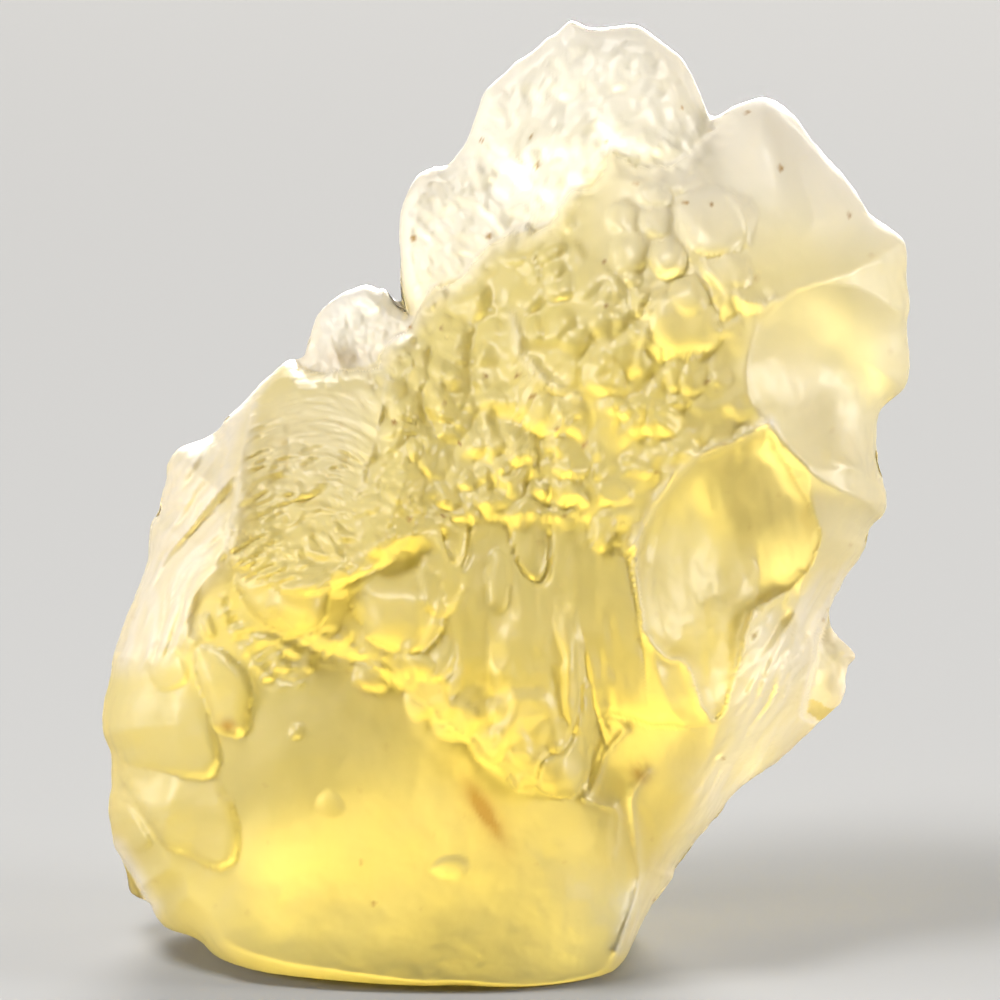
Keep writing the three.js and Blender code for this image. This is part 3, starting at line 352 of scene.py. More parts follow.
# Middle right and up, half sizes, turn, height and squareness.
BLISTERS = [Blister(row[:2], row[2:4], *row[4:]) for row in [
    # Cluster under the torn rim.
    (10.75, 38.4, 2.0, 1.65, -15, 0.9, 2.0), (11.45, 35.95, 1.3, 0.9, -20, 0.6, 1.4),
    (12.6, 34.25, 0.65, 0.55, 0, 0.4), (6.05, 38.55, 0.85, 0.85, 0, 0.7),
    (7.7, 39.6, 0.85, 0.65, 0, 0.55, 1.4), (7.8, 38.4, 0.75, 0.7, 0, 0.5),
    (8.3, 36.65, 0.95, 1.1, 0, 0.85, 1.3), (6.35, 37.0, 0.95, 1.2, 0, 0.65, 1.3),
    (6.5, 35.6, 0.42, 0.46, 0, 0.35), (9.5, 40.2, 0.7, 0.45, 10, 0.3),
    # The broad blister with a second one riding on it.
    (9.05, 33.2, 2.0, 1.8, 0, 0.9, 2.0), (9.4, 34.5, 1.05, 1.25, -10, 1.2, 1.2),
    # A long swell, its lip and the knob under it.
    (4.4, 33.1, 2.3, 3.5, 8, 0.45, 1.2), (3.0, 36.4, 1.2, 1.0, 0, 0.4),
    (1.8, 29.1, 1.0, 1.75, 35, 0.8, 1.4), (0.2, 37.0, 1.1, 0.75, -25, 0.35, 2.0),
    (-2.25, 33.25, 1.1, 0.65, -15, 0.35, 2.0), (-5.2, 31.6, 0.9, 0.6, -20, 0.3),
    # Bubbles over the columns.
    (0.25, 26.2, 0.55, 0.5, 0, 0.32), (1.25, 26.5, 0.6, 0.5, 0, 0.36),
    (3.05, 25.9, 0.5, 0.5, 0, 0.36), (4.95, 26.75, 0.4, 0.36, 0, 0.3),
    (4.85, 25.8, 0.42, 0.4, 0, 0.32), (5.6, 24.85, 0.95, 0.7, 0, 0.5),
    (3.45, 24.8, 0.6, 0.52, 0, 0.42), (1.9, 25.2, 0.52, 0.46, 0, 0.34),
    (1.4, 24.2, 0.62, 0.46, 0, 0.4), (0.2, 25.3, 0.5, 0.46, 0, 0.3),
    (-0.6, 24.4, 0.52, 0.42, 0, 0.32), (-1.5, 25.5, 0.6, 0.45, 20, 0.3),
    (-2.6, 24.4, 0.62, 0.5, 0, 0.34), (2.4, 27.2, 0.4, 0.34, 0, 0.24),
    (4.0, 27.8, 0.36, 0.34, 0, 0.22), (7.0, 26.1, 0.4, 0.36, 0, 0.26),
    (6.3, 26.6, 0.34, 0.3, 0, 0.22), (7.6, 27.6, 0.36, 0.3, 0, 0.2),
    (9.0, 29.4, 0.5, 0.4, 30, 0.2), (11.1, 30.4, 0.6, 0.4, 30, 0.22),
    # Lumps that end the ledge.
    (5.15, 23.0, 0.6, 0.9, 0, 0.65), (6.75, 22.55, 0.38, 0.8, 0, 0.55),
    # Smooth windows and the amber bead on the left.
    (-3.0, 20.75, 1.0, 2.0, 8, 0.45, 1.4), (0.0, 20.5, 0.6, 1.5, 0, 0.3, 1.4),
    (-6.5, 15.75, 0.9, 0.75, 0, 0.6, 1.3), (-4.2, 16.4, 1.0, 0.8, 0, 0.6, 1.2),
    (-7.8, 20.6, 1.5, 0.9, 12, 0.4), (-5.6, 22.6, 1.3, 0.8, 30, 0.4),
    (-6.4, 24.2, 0.8, 0.6, 30, 0.35), (-14.4, 18.25, 0.4, 0.6, 15, 0.3),
    (2.2, 10.5, 1.5, 0.65, 0, 0.3),
    # Scallops along the foot of the apron.
    (-3.5, 14.9, 1.3, 1.2, 0, 0.45), (-2.3, 13.6, 1.1, 1.1, 0, 0.42),
    (-0.6, 12.4, 1.0, 0.9, 0, 0.38), (2.8, 11.2, 1.3, 1.2, 0, 0.3),
    # Faint dimpled swellings on the smooth lower face.
    (-10.15, 12.85, 0.3, 0.3, 0, 0.22), (-8.5, 9.5, 0.7, 0.6, 0, 0.16),
    (-2.5, 6.2, 0.9, 0.5, 0, 0.16),
    # Beads.
    (7.2, 34.7, 0.28, 0.28, 0, 0.3), (6.8, 35.0, 0.2, 0.2, 0, 0.2),
    (0.25, 34.0, 0.3, 0.28, 0, 0.28), (-0.35, 34.1, 0.22, 0.2, 0, 0.2),
]]
BRIMS = [
    # Torn top rim of the front mass, in front of the crests.
    Brim([(-8.8, 30.6), (-7.75, 30.9), (-6.25, 31.1), (-5.0, 32.3),
          (-4.5, 32.8), (-3.4, 34.7), (-1.75, 35.45), (-0.75, 36.9), (1.0, 37.7),
          (2.25, 37.95), (3.6, 39.65), (4.9, 41.15), (5.6, 41.8), (7.5, 41.3), (9.6, 41.5)],
         0.6, 0.5),
    # Left ridge between the flank and the rippled bowl.
    Brim([(-12.2, 29.4), (-12.6, 27.5), (-12.9, 25.5), (-13.2, 24.0), (-13.6, 22.0),
          (-14.2, 20.9), (-15.0, 20.0), (-15.5, 19.0), (-15.5, 17.5)], 0.75, 0.55),
    # Right brim of the bowl.
    Brim([(-5.6, 30.6), (-5.9, 29.2), (-6.3, 28.0), (-6.8, 26.0), (-7.0, 24.8)], 0.3, 0.3),
    # Brims round the right-hand scoop.
    Brim([(19.0, 36.4), (18.0, 36.0), (16.75, 35.4), (15.0, 35.1), (13.5, 34.4), (12.6, 33.0),
          (12.3, 31.0), (12.9, 29.5), (13.4, 28.4)], 0.45, 0.7),
    Brim([(13.4, 28.4), (14.6, 26.8), (16.0, 25.5), (18.0, 24.4), (19.2, 24.2)], 0.45, 0.45),
    Brim([(16.5, 26.6), (18.0, 25.8), (19.2, 25.2)], 0.35, 0.3),
    # Brim over the chute and down its left wall to the pocket.
    Brim([(6.6, 22.3), (7.8, 24.7), (9.0, 26.0), (10.7, 27.3), (12.0, 27.6), (13.4, 28.4)],
         0.45, 0.3),
    Brim([(6.6, 22.3), (6.8, 20.75), (7.05, 19.0), (7.2, 17.7), (7.8, 17.2), (8.3, 16.7),
          (9.0, 16.6), (9.5, 15.75), (10.0, 14.6), (10.6, 13.5)], 0.35, 0.26),
    # Long brims down the right flank.
    Brim([(13.5, 19.6), (12.2, 18.5), (11.9, 15.5), (11.3, 13.8), (10.2, 11.0), (9.3, 8.5),
          (6.9, 5.2), (5.9, 2.0)], 0.35, 0.35),
    Brim([(7.4, 11.0), (6.5, 9.5), (6.9, 7.0), (7.0, 5.5), (6.75, 4.25), (5.9, 2.0)], 0.3, 0.25),
    Brim([(4.25, 9.75), (5.0, 11.5), (5.6, 12.5), (6.25, 13.1)], 0.22, 0.2),
    Brim([(4.25, 9.75), (5.25, 9.5), (6.0, 9.15), (5.85, 8.0), (5.6, 7.0)], 0.2, 0.2),
    # A curled fold and thin folds on the upper face.
    Brim([(0.65, 33.7), (0.95, 31.6), (2.4, 30.15), (3.9, 29.6)], 0.5, 0.28),
    Brim([(11.4, 39.65), (12.0, 38.6), (12.5, 37.6), (12.4, 37.1)], 0.25, 0.14),
    Brim([(10.2, 36.45), (10.65, 35.6), (11.45, 34.75), (12.75, 34.15), (13.6, 34.55)],
         0.3, 0.16),
    Brim([(14.5, 43.0), (15.6, 41.6), (16.6, 40.0), (17.2, 39.2)], 0.2, 0.5),
    Brim([(15.0, 41.2), (15.5, 39.6), (15.6, 38.4)], 0.18, 0.4),
    Brim([(6.9, 34.6), (6.9, 33.5), (7.2, 32.4), (6.8, 31.6)], 0.2, 0.2),
]


def clamp01(x: Array) -> Array:
    """Limits values to 0..1.

    Args:
        x: any values.

    Returns:
        The limited values.
    """
    return np.clip(x, 0.0, 1.0)


def smooth(x: Array) -> Array:
    """Smooth step from 0 to 1.

    Args:
        x: values, 0 at the step's start and 1 at its end.

    Returns:
        Values eased in and out.
    """
    x = clamp01(x)
    return x * x * (3.0 - 2.0 * x)


def quarter_round(distance: Array, width: Array | float) -> Array:
    """Quarter-round profile: steep at the edge, level one width further in.

    Args:
        distance: distance inside the edge, mm.
        width: width of the rounding, mm.

    Returns:
        0 at the edge, 1 beyond the width.
    """
    return np.sqrt(1.0 - (1.0 - clamp01(distance / width)) ** 2)


def rounded(course: Course, closed: bool, passes: int = 2) -> Array:
    """Cuts the corners of a course so that it curves.

    Args:
        course: the corners.
        closed: True if the last corner joins the first.
        passes: how often the corners are cut.

    Returns:
        The curved course, one point a row.
    """
    points = np.array(course, float)
    for _ in range(passes):
        following = np.roll(points, -1, axis=0)
        cut = np.stack([0.75 * points + 0.25 * following, 0.25 * points + 0.75 * following], 1)
        cut = cut.reshape(-1, 2)
        points = cut if closed else np.vstack([points[:1], cut[:-2], points[-1:]])
    return points


def course_distance(course: Array, u: Array, v: Array) -> Array:
    """Distance to the nearest place on an open course.

    Args:
        course: its points, one a row.
        u, v: places, right and up.

    Returns:
        Distances, mm.
    """
    nearest = np.full(u.shape, np.inf)
    for (au, av), (bu, bv) in zip(course[:-1], course[1:]):
        du, dv = bu - au, bv - av
        along = clamp01(((u - au) * du + (v - av) * dv) / (du * du + dv * dv + 1e-12))
        nearest = np.minimum(nearest, (u - au - along * du) ** 2 + (v - av - along * dv) ** 2)
    return np.sqrt(nearest)


def depth_inside(shape: Array, u: Array, v: Array) -> Array:
    """Distance inside a closed shape, negative outside.

    Args:
        shape: its corners, one a row.
        u, v: places, right and up.

    Returns:
        Signed distances, mm.
    """
    inside = np.zeros(u.shape, bool)
    closed = np.vstack([shape, shape[:1]])
    for (au, av), (bu, bv) in zip(closed[:-1], closed[1:]):
        if av != bv:
            crosses = ((av > v) != (bv > v)) & (u < au + (bu - au) * (v - av) / (bv - av))
            inside ^= crosses
    distance = course_distance(closed, u, v)
    return np.where(inside, distance, -distance)


def near_box(shape: Array, margin: float, u: Array, v: Array) -> Array:
    """Marks the places near a shape, so that only those are worked out.

    Args:
        shape: its points, one a row.
        margin: how far round it, mm.
        u, v: places, right and up.

    Returns:
        True for the places near it.
    """
    low, high = shape.min(0) - margin, shape.max(0) + margin
    return (u > low[0]) & (u < high[0]) & (v > low[1]) & (v < high[1])


def zone(shape: Course, fade: float, u: Array, v: Array) -> Array:
    """Soft-edged mask of a region.

    Args:
        shape: its corners.
        fade: width over which the mask rises from the edge inwards, mm.
        u, v: places, right and up.

    Returns:
        0 outside, 1 well inside.
    """
    curve = rounded(shape, True)
    mask = np.zeros(u.shape)
    near = near_box(curve, fade, u, v)
    mask[near] = smooth(0.5 + depth_inside(curve, u[near], v[near]) / fade)
    return mask


def lattice(ix: Array, iy: Array, iz: Array, seed: float) -> Array:
    """A steady pseudo-random number for each lattice point.

    Args:
        ix, iy, iz: whole numbers along x, y and z.
        seed: picks another set.

    Returns:
        Numbers from 0 to 1.
    """
    mixed = np.sin(ix * 127.1 + iy * 311.7 + iz * 74.7 + seed * 53.3) * 43758.5453
    return mixed - np.floor(mixed)


def value_noise(x: Array, y: Array, z: Array, seed: float) -> Array:
    """Smooth noise with features one unit across.

    Args:
        x, y, z: places.
        seed: picks another field.

    Returns:
        Values from -1 to 1.
    """
    ix, iy, iz = np.floor(x), np.floor(y), np.floor(z)
    fx, fy, fz = smooth(x - ix), smooth(y - iy), smooth(z - iz)
    total = np.zeros(x.shape)
    for dx in (0, 1):
        for dy in (0, 1):
            for dz in (0, 1):
                share = (fx if dx else 1 - fx) * (fy if dy else 1 - fy) * (fz if dz else 1 - fz)
                total += share * lattice(ix + dx, iy + dy, iz + dz, seed)
    return 2.0 * total - 1.0


def fractal(x: Array, y: Array, z: Array, seed: float, octaves: int = 3) -> Array:
    """Noise with finer noise on it.

    Args:
        x, y, z: places.
        seed: picks another field.
        octaves: how many layers, each twice as fine.

    Returns:
        Values from about -1 to 1.
    """
    total, weight, scale = np.zeros(x.shape), 0.0, 1.0
    for layer in range(octaves):
        share = 0.5**layer
        total += share * value_noise(x * scale, y * scale, z * scale, seed + 7.0 * layer)
        weight += share
        scale *= 2.03
    return total / weight


def domes(u: Array, v: Array, cell: float, seed: float, fill: float = 0.75) -> Array:
    """A field of round bubbles of mixed sizes, one to a cell.

    The height at a place is the tallest of the domes over it. A dome is rounded on top and
    meets the skin at a soft angle; its radius and middle vary from cell to cell.

    Args:
        u, v: places, right and up.
        cell: size of a cell, mm.
        seed: picks another field.
        fill: largest radius as a share of a cell.

    Returns:
        Heights from 0 to 1.
    """
    x, y = u / cell, v / cell
    ix, iy = np.floor(x), np.floor(y)
    tallest = np.zeros(u.shape)
    for dx in (-1, 0, 1):
        for dy in (-1, 0, 1):
            cx, cy = ix + dx, iy + dy
            px = cx + 0.15 + 0.7 * lattice(cx, cy, 0 * cx, seed)
            py = cy + 0.15 + 0.7 * lattice(cx, cy, 0 * cx, seed + 3.0)
            radius = fill * (0.45 + 0.55 * lattice(cx, cy, 0 * cx, seed + 5.0))
            reach = ((x - px) ** 2 + (y - py) ** 2) / radius**2
            tallest = np.maximum(tallest, radius / fill * clamp01(1.0 - reach) ** 0.75)
    return tallest


def seams(x: Array, y: Array, seed: float) -> Array:
    """Pillowed lumps with narrow grooves between them.

    The grooves follow the places where smooth noise passes through zero.

    Args:
        x, y: places.
        seed: picks another field.

    Returns:
        Values from about -1 in a groove to 0.6 on a pillow.
    """
    field_value = value_noise(x, y, 0.0 * x, seed)
    return 0.9 * np.sqrt(np.abs(field_value)) - np.exp(-((field_value / 0.06) ** 2))


def ellipse_reach(feature: Scoop | Blister | Stain, u: Array, v: Array) -> Array:
    """Squared, normalised distance from the middle of a turned ellipse.

    Args:
        feature: has centre, half sizes and turn.
        u, v: places, right and up.

    Returns:
        0 in the middle, 1 on the edge.
    """
    angle = math.radians(feature.turn)
    du, dv = u - feature.centre[0], v - feature.centre[1]
    across = (du * math.cos(angle) + dv * math.sin(angle)) / feature.half[0]
    up = (dv * math.cos(angle) - du * math.sin(angle)) / feature.half[1]
    return across * across + up * up


def stained(stains: list[Stain], u: Array, v: Array) -> Array:
    """Sum of soft patches, each falling off as a bell curve.

    Args:
        stains: the patches.
        u, v: places, right and up.

    Returns:
        Strengths, 0 far from every patch.
    """
    return sum(stain.strength * np.exp(-ellipse_reach(stain, u, v)) for stain in stains)


@dataclass
class StretchedSkin:
    """A smooth skin that passes through every post."""

    posts: list[tuple[float, float, float]]
    softness: float = 1.5
    pull: Array = field(init=False)
    mean: float = field(init=False)

    def __post_init__(self) -> None:
        """Solves for how hard each post pulls on the skin."""
        table = np.array(self.posts)
        self.mean = float(table[:, 2].mean())
        gaps = self._spread(table[:, None, 0] - table[None, :, 0],
                            table[:, None, 1] - table[None, :, 1])
        self.pull = np.linalg.solve(gaps, table[:, 2] - self.mean)

    def _spread(self, du: Array, dv: Array) -> Array:
        """Distance, rounded off near zero.

        Args:
            du: steps right.
            dv: steps up.

        Returns:
            Softened distances.
        """
        return np.sqrt(du * du + dv * dv + self.softness**2)

    def height(self, u: Array, v: Array) -> Array:
        """Height of the skin.

        Args:
            u, v: places, right and up.

        Returns:
            Heights w, mm.
        """
        total = np.full(u.shape, self.mean)
        for (pu, pv, _), pull in zip(self.posts, self.pull):
            total += pull * self._spread(u - pu, v - pv)
        return total


@dataclass
class DesertGlass:
    """The whole stone: two skins sewn along one rim, standing on a flat foot.

    All sizes are millimetres on the flat drawing of the face.
    """

    heart: tuple[float, float] = (0.5, 21.5)
    view_tilt_deg: float = 12.0
    foot_drop: float = 1.85
    foot_round: float = 0.35
    middle_right: float = 0.3
    middle_back: float = 3.3
    front_cells: int = 278
    back_cells: int = 139
    rim_crowding: float = 1.3
    rim_settling: float = 7.0
    steady_span_deg: float = 26.0
    steady_samples: int = 13
    outline_steps: int = 4801
    outline_ease_deg: float = 0.4
    mass_shoulder: float = 1.3
    rim_jag: float = 0.10
    edge_wobble: float = 0.35
    wander_reach: float = 0.30
    wander_size: float = 1.7
    torn_reach: float = 0.40
    torn_size: float = 1.2
    weather_depth: float = 0.05
    weather_size: float = 0.9
    weather_fade: float = 0.8
    speck_cell: float = 1.2
    speck_rarity: float = 0.91

    def __post_init__(self) -> None:
        """Prepares the outline and the three skins."""
        edge = (CREST_EDGE + RIGHT_EDGE + BACK_FLAKE_EDGE + LOWER_RIGHT_EDGE + FOOT_EDGE
                + LEFT_EDGE + SMALL_CREST_EDGE)
        self.outline = rounded(edge, True, 1)
        self.trace_outline()
        self.front_skin = StretchedSkin(FRONT_POSTS)
        self.crest_skin = StretchedSkin(CREST_POSTS)
        self.back_skin = StretchedSkin(BACK_POSTS)

    def trace_outline(self) -> None:
        """Tables the outline's outermost reach by bearing, its sharpest notches eased."""
        self.bearings = np.linspace(-math.pi, math.pi, self.outline_steps)
        du, dv = np.cos(self.bearings)[:, None], np.sin(self.bearings)[:, None]
        here = self.outline - np.array(self.heart)
        there = np.roll(here, -1, axis=0)
        side_here = du * here[:, 1] - dv * here[:, 0]
        side_there = du * there[:, 1] - dv * there[:, 0]
        crossed = (side_here >= 0) != (side_there >= 0)
        share = side_here / np.where(crossed, side_here - side_there, 1.0)
        reach = (du * (here[:, 0] + share * (there[:, 0] - here[:, 0]))
                 + dv * (here[:, 1] + share * (there[:, 1] - here[:, 1])))
        reaches = np.where(crossed, reach, 0.0).max(1)[:-1]
        spread = round(len(reaches) * self.outline_ease_deg / 360.0)
        eased = np.mean([np.roll(reaches, k) for k in range(-spread, spread + 1)], axis=0)
        self.reaches = np.append(eased, eased[0])

    def outline_reach(self, bearing: Array) -> Array:
        """Reach of the outline from the heart.

        Args:
            bearing: directions, radians.

        Returns:
            Reaches, mm.
        """
        wrapped = np.arctan2(np.sin(bearing), np.cos(bearing))
        return np.interp(wrapped, self.bearings, self.reaches)

    def station_value(self, bearing: Array, name: str) -> Array:
        """One value of the edge stations, blended round the bearing.

        Args:
            bearing: directions, radians.
            name: field of EdgeStation.

        Returns:
            The blended values.
        """
        degrees = np.degrees(bearing)
        result = np.zeros(bearing.shape)
        for here, following in zip(EDGE_STATIONS, EDGE_STATIONS[1:] + EDGE_STATIONS[:1]):
            gap = (following.bearing - here.bearing) % 360.0
            past = (degrees - here.bearing) % 360.0
            a, b = getattr(here, name), getattr(following, name)
            result = np.where(past < gap, a + (b - a) * smooth(past / gap), result)
        return result

    def plates_rise(self, plates: list[Plate], u: Array, v: Array) -> Array:
        """Sum of raised and sunk regions.

        Args:
            plates: the regions.
            u, v: places, right and up.

        Returns:
            Heights, mm.
        """
        total = np.zeros(u.shape)
        for plate in plates:
            curve = rounded(plate.shape, True)
            near = near_box(curve, 0.0, u, v)
            depth = np.maximum(depth_inside(curve, u[near], v[near]), 0.0)
            fade = smooth((plate.fade_top - v[near]) / plate.fade_length)
            total[near] += plate.height * fade * quarter_round(depth, plate.shoulder)
        return total

    def brims_rise(self, u: Array, v: Array) -> Array:
        """Sum of the narrow brims.

        Args:
            u, v: places, right and up.

        Returns:
            Heights, mm.
        """
        total = np.zeros(u.shape)
        for brim in BRIMS:
            curve = rounded(brim.course, False)
            near = near_box(curve, 5.0 * brim.width, u, v)
            away = course_distance(curve, u[near], v[near])
            total[near] += brim.height * np.exp(-((away / brim.width) ** 1.3))
        return total

    def scooped(self, scoops: list[Scoop], u: Array, v: Array) -> Array:
        """Depth of the deepest scoop at each place.

        Args:
            scoops: the scoops.
            u, v: places, right and up.

        Returns:
            Depths, mm.
        """
        deepest = np.zeros(u.shape)
        for scoop in scoops:
            cut = scoop.depth * (1.0 - ellipse_reach(scoop, u, v))
            deepest = np.maximum(deepest, cut)
        return deepest

    def blistered(self, u: Array, v: Array) -> Array:
        """Height of the tallest blister at each place.

        Args:
            u, v: places, right and up.

        Returns:
            Heights, mm.
        """
        tallest = np.zeros(u.shape)
        for blister in BLISTERS:
            reach = ellipse_reach(blister, u, v) ** blister.squareness
            tallest = np.maximum(tallest, blister.height * clamp01(1.0 - reach) ** 0.6)
        return tallest

    def fine_relief(self, u: Array, v: Array) -> Array:
        """Small relief of each region of the front mass.

        Bubbles crowd the middle; bowl-shaped wrinkles line the left scoop; both flanks and
        the chute are streaked along their length; the foot of the apron is lumped; the
        lower face only undulates.

        Args:
            u, v: places, right and up.

        Returns:
            Heights, mm.
        """
        flat = 0.0 * u
        warp = 0.5 * value_noise(u / 1.6, v / 1.6, flat, 2.0)
        crowd = smooth(0.55 + 0.9 * fractal(u / 2.4, v / 2.4, flat, 10.0, 2))
        bubbled = zone(BUBBLED_ZONE, 3.0, u, v) * (0.35 + 0.65 * crowd)
        relief = bubbled * (0.40 * domes(u + warp, v - warp, 1.15, 11.0)
                            + 0.20 * domes(u, v + warp, 0.65, 12.0))
        lumped = zone(LUMPED_ZONE, 1.4, u, v)
        relief += lumped * (0.75 * domes(u - warp, v + warp, 2.0, 15.0, 0.75) * crowd
                            + 0.38 * domes(u + warp, v, 1.1, 16.0) * crowd
                            + 0.42 * fractal(u / 2.4, v / 3.0, flat, 3.0, 3))
        columns = zone(COLUMN_ZONE, 1.2, u, v)
        relief += columns * (0.26 * seams((u + 0.10 * v) / 1.9, v / 8.0, 18.0)
                             + 0.34 * fractal((u + 0.10 * v) / 1.5, v / 5.0, flat, 19.0, 3))
        run_out = zone(COLUMN_ZONE, 2.0, u + 1.5, v) * smooth((19.0 - v) / 4.0)
        relief += run_out * (0.30 * domes(u + warp, v, 1.7, 24.0)
                             + 0.25 * fractal(u / 1.3, v / 1.3, flat, 25.0, 3))
        bowl = zone(BOWL_ZONE, 1.0, u, v)
        sag = v + 0.09 * (u + 9.5) ** 2 + 0.35 * warp
        ripple = 1.0 - np.abs(fractal(u / 1.5, sag / 0.42, flat, 4.0, 2)) * 2.0
        lower = smooth((29.0 - v) / 3.0)
        relief += bowl * (0.17 + 0.12 * lower) * ripple
        relief += bowl * (0.25 + lower) * 0.15 * domes(u, sag, 0.7, 13.0, 0.7)
        flanks = zone(LEFT_FLANK_ZONE, 0.8, u, v) + zone(RIGHT_FLANK_ZONE, 0.8, u, v)
        relief += flanks * 0.42 * self.streaks(u, v)
        chute = zone(CHUTE_ZONE, 1.5, u, v)
        run = fractal((u + 0.18 * v) / 1.3, v / 6.0, flat, 6.0, 3)
        relief += chute * 0.14 * run
        rubble = zone(LEFT_RUBBLE_ZONE, 0.5, u, v) + zone(MID_RUBBLE_ZONE, 0.4, u, v)
        relief += rubble * (0.30 * fractal(u / 0.55, v / 0.45, flat, 8.0, 3)
                            + 0.15 * domes(u, v, 0.5, 14.0))
        relief += 0.12 * fractal(u / 4.5, v / 4.5, flat, 9.0, 2)
        return relief

    def streaks(self, u: Array, v: Array) -> Array:
        """Sharp-topped streaks that run down the flanks.

        The places are turned to lie along the flank, bent a little, and stretched noise is
        folded so that it peaks where it passes through zero.

        Args:
            u, v: places, right and up.

        Returns:
            Values up to 1 on the top of a streak.
        """
        flat = 0.0 * u
        along = 0.51 * u + 0.86 * v
        across = 0.86 * u - 0.51 * v + 0.15 * value_noise(u / 1.6, v / 1.6, flat, 2.0)
        bend = 0.8 * value_noise(across / 3.0, along / 5.0, flat, 20.0)
        return 1.0 - np.abs(fractal((across + bend) / 0.85, along / 5.0, flat, 5.0, 4)) * 2.8

    def crest_relief(self, u: Array, v: Array) -> Array:
        """Crumpled relief of the thin crests.

        Args:
            u, v: places, right and up.

        Returns:
            Heights, mm.
        """
        flat = 0.0 * u
        folds = 1.0 - np.abs(fractal((u + 0.3 * v) / 2.0, v / 2.6, flat, 21.0, 4)) * 2.0
        return 0.42 * folds + 0.20 * fractal(u / 0.8, v / 0.8, flat, 22.0, 3)

    def wander(self, u: Array, v: Array) -> tuple[Array, Array]:
        """Shifts places a little, so that drawn outlines turn uneven.

        Args:
            u, v: places, right and up.

        Returns:
            The shifted places.
        """
        shift_u, shift_v = (self.wander_reach * fractal(
            u / self.wander_size, v / self.wander_size, 0.0 * u, seed, 3) for seed in (71.0, 72.0))
        return u + shift_u, v + shift_v

    def front_height(self, u: Array, v: Array) -> Array:
        """Height of the sculpted front, before it rounds over at the rim.

        Args:
            u, v: places, right and up.

        Returns:
            Heights w, mm.
        """
        mass = self.front_skin.height(u, v) - self.scooped(FRONT_SCOOPS, u, v)
        near_u, near_v = self.wander(u, v)
        swollen = self.blistered(near_u, near_v)
        mass += self.plates_rise(HOLLOWS + PLATES, near_u, near_v)
        mass += self.brims_rise(near_u, near_v) + swollen
        mass += self.fine_relief(u, v) * (1.0 - 0.7 * smooth((swollen - 0.3) / 0.3))
        crest = self.crest_skin.height(u, v) + self.crest_relief(u, v)
        torn = self.torn_reach * fractal(u / self.torn_size, v / self.torn_size, 0.0 * u, 26.0, 3)
        depth = depth_inside(rounded(FRONT_MASS, True, 1), near_u + torn, near_v - torn)
        depth = np.maximum(depth, 0.0)
        height = crest + (mass - crest) * quarter_round(depth, self.mass_shoulder)
        for flake in FLAKES:
            within = smooth(0.5 + depth_inside(np.array(flake.shape), u, v) / flake.shoulder)
            rough = 0.3 * fractal(u / 1.2, v / 1.2, 0 * u, 23.0)
            height += (flake.height + rough - height) * within
        return height

    def back_height(self, u: Array, v: Array) -> Array:
        """Height of the back skin, before it rounds over at the rim.

        Args:
            u, v: places, right and up.

        Returns:
            Heights w, mm.
        """
        flat = 0.0 * u
        rough = 0.50 * fractal(u / 3.4, v / 3.4, flat, 31.0, 4)
        crowd = smooth(0.5 + 1.2 * fractal(u / 6.0, v / 6.0, flat, 33.0, 2))
        bubbles = 0.45 * domes(u + 0.6 * rough, v, 2.3, 32.0) + 0.28 * domes(u, v, 1.2, 34.0)
        rough -= crowd * bubbles
        run = fractal((u - 0.4 * v) / 1.8, (v + 0.4 * u) / 7.0, flat, 35.0, 3)
        rough += (1.0 - crowd) * 0.45 * np.abs(run)
        return self.back_skin.height(u, v) + self.scooped(BACK_SCOOPS, u, v) + rough

    def sheet(self, cells: int, side: Side) -> tuple[Array, Array]:
        """One skin as a square grid wrapped onto the round drawing.

        A grid node's ring is its larger distance from the middle of the square and its
        bearing runs evenly round each ring. The ring is stretched to the outline's reach,
        with notches only felt near the rim, and the skin's height blends to the rim's own
        height through a quarter round.

        Args:
            cells: cells along a side of the square.
            side: which skin.

        Returns:
            Points on the drawing (u, v, w), one row a node, and each node's ring.
        """
        steps = np.linspace(-1.0, 1.0, cells + 1)
        a, b = np.meshgrid(steps, steps)
        ring = np.maximum(np.abs(a), np.abs(b)).ravel()
        a, b = a.ravel(), b.ravel()
        quarter = math.pi / 4
        with np.errstate(divide="ignore", invalid="ignore"):
            wide = quarter * b / a + np.where(a > 0, 0.0, math.pi)
            tall = 2 * quarter - quarter * a / b + np.where(b > 0, 0.0, math.pi)
        bearing = np.where(np.abs(a) >= np.abs(b), wide, tall)
        bearing = np.where(ring < 1e-9, 0.0, bearing)
        bearing = np.arctan2(np.sin(bearing), np.cos(bearing))
        reach = self.outline_reach(bearing)
        jagged = fractal(np.cos(bearing) * 22.0, np.sin(bearing) * 22.0, 0 * bearing, 41.0, 3)
        reach = reach + self.rim_jag * jagged
        span = math.radians(self.steady_span_deg)
        shifts = np.linspace(-span, span, self.steady_samples)
        steady = np.mean([self.outline_reach(bearing + shift) for shift in shifts], axis=0)
        share = 1.0 - (1.0 - ring) ** self.rim_crowding
        radius = steady * share + (reach - steady) * share**self.rim_settling
        u = self.heart[0] + radius * np.cos(bearing)
        v = self.heart[1] + radius * np.sin(bearing)
        edge = self.station_value(bearing, "height")
        wobble = fractal(np.cos(bearing) * 9.0, np.sin(bearing) * 9.0, 0 * bearing, 42.0)
        edge = edge + self.edge_wobble * wobble
        closed = np.vstack([self.outline, self.outline[:1]])
        inwards = np.where(ring > 1.0 - 1e-9, 0.0, course_distance(closed, u, v))
        skin = self.front_height(u, v) if side is Side.FRONT else self.back_height(u, v)
        width = self.station_value(bearing, side.value)
        w = edge + (skin - edge) * quarter_round(inwards, width)
        return np.stack([u, v, w], axis=1), ring

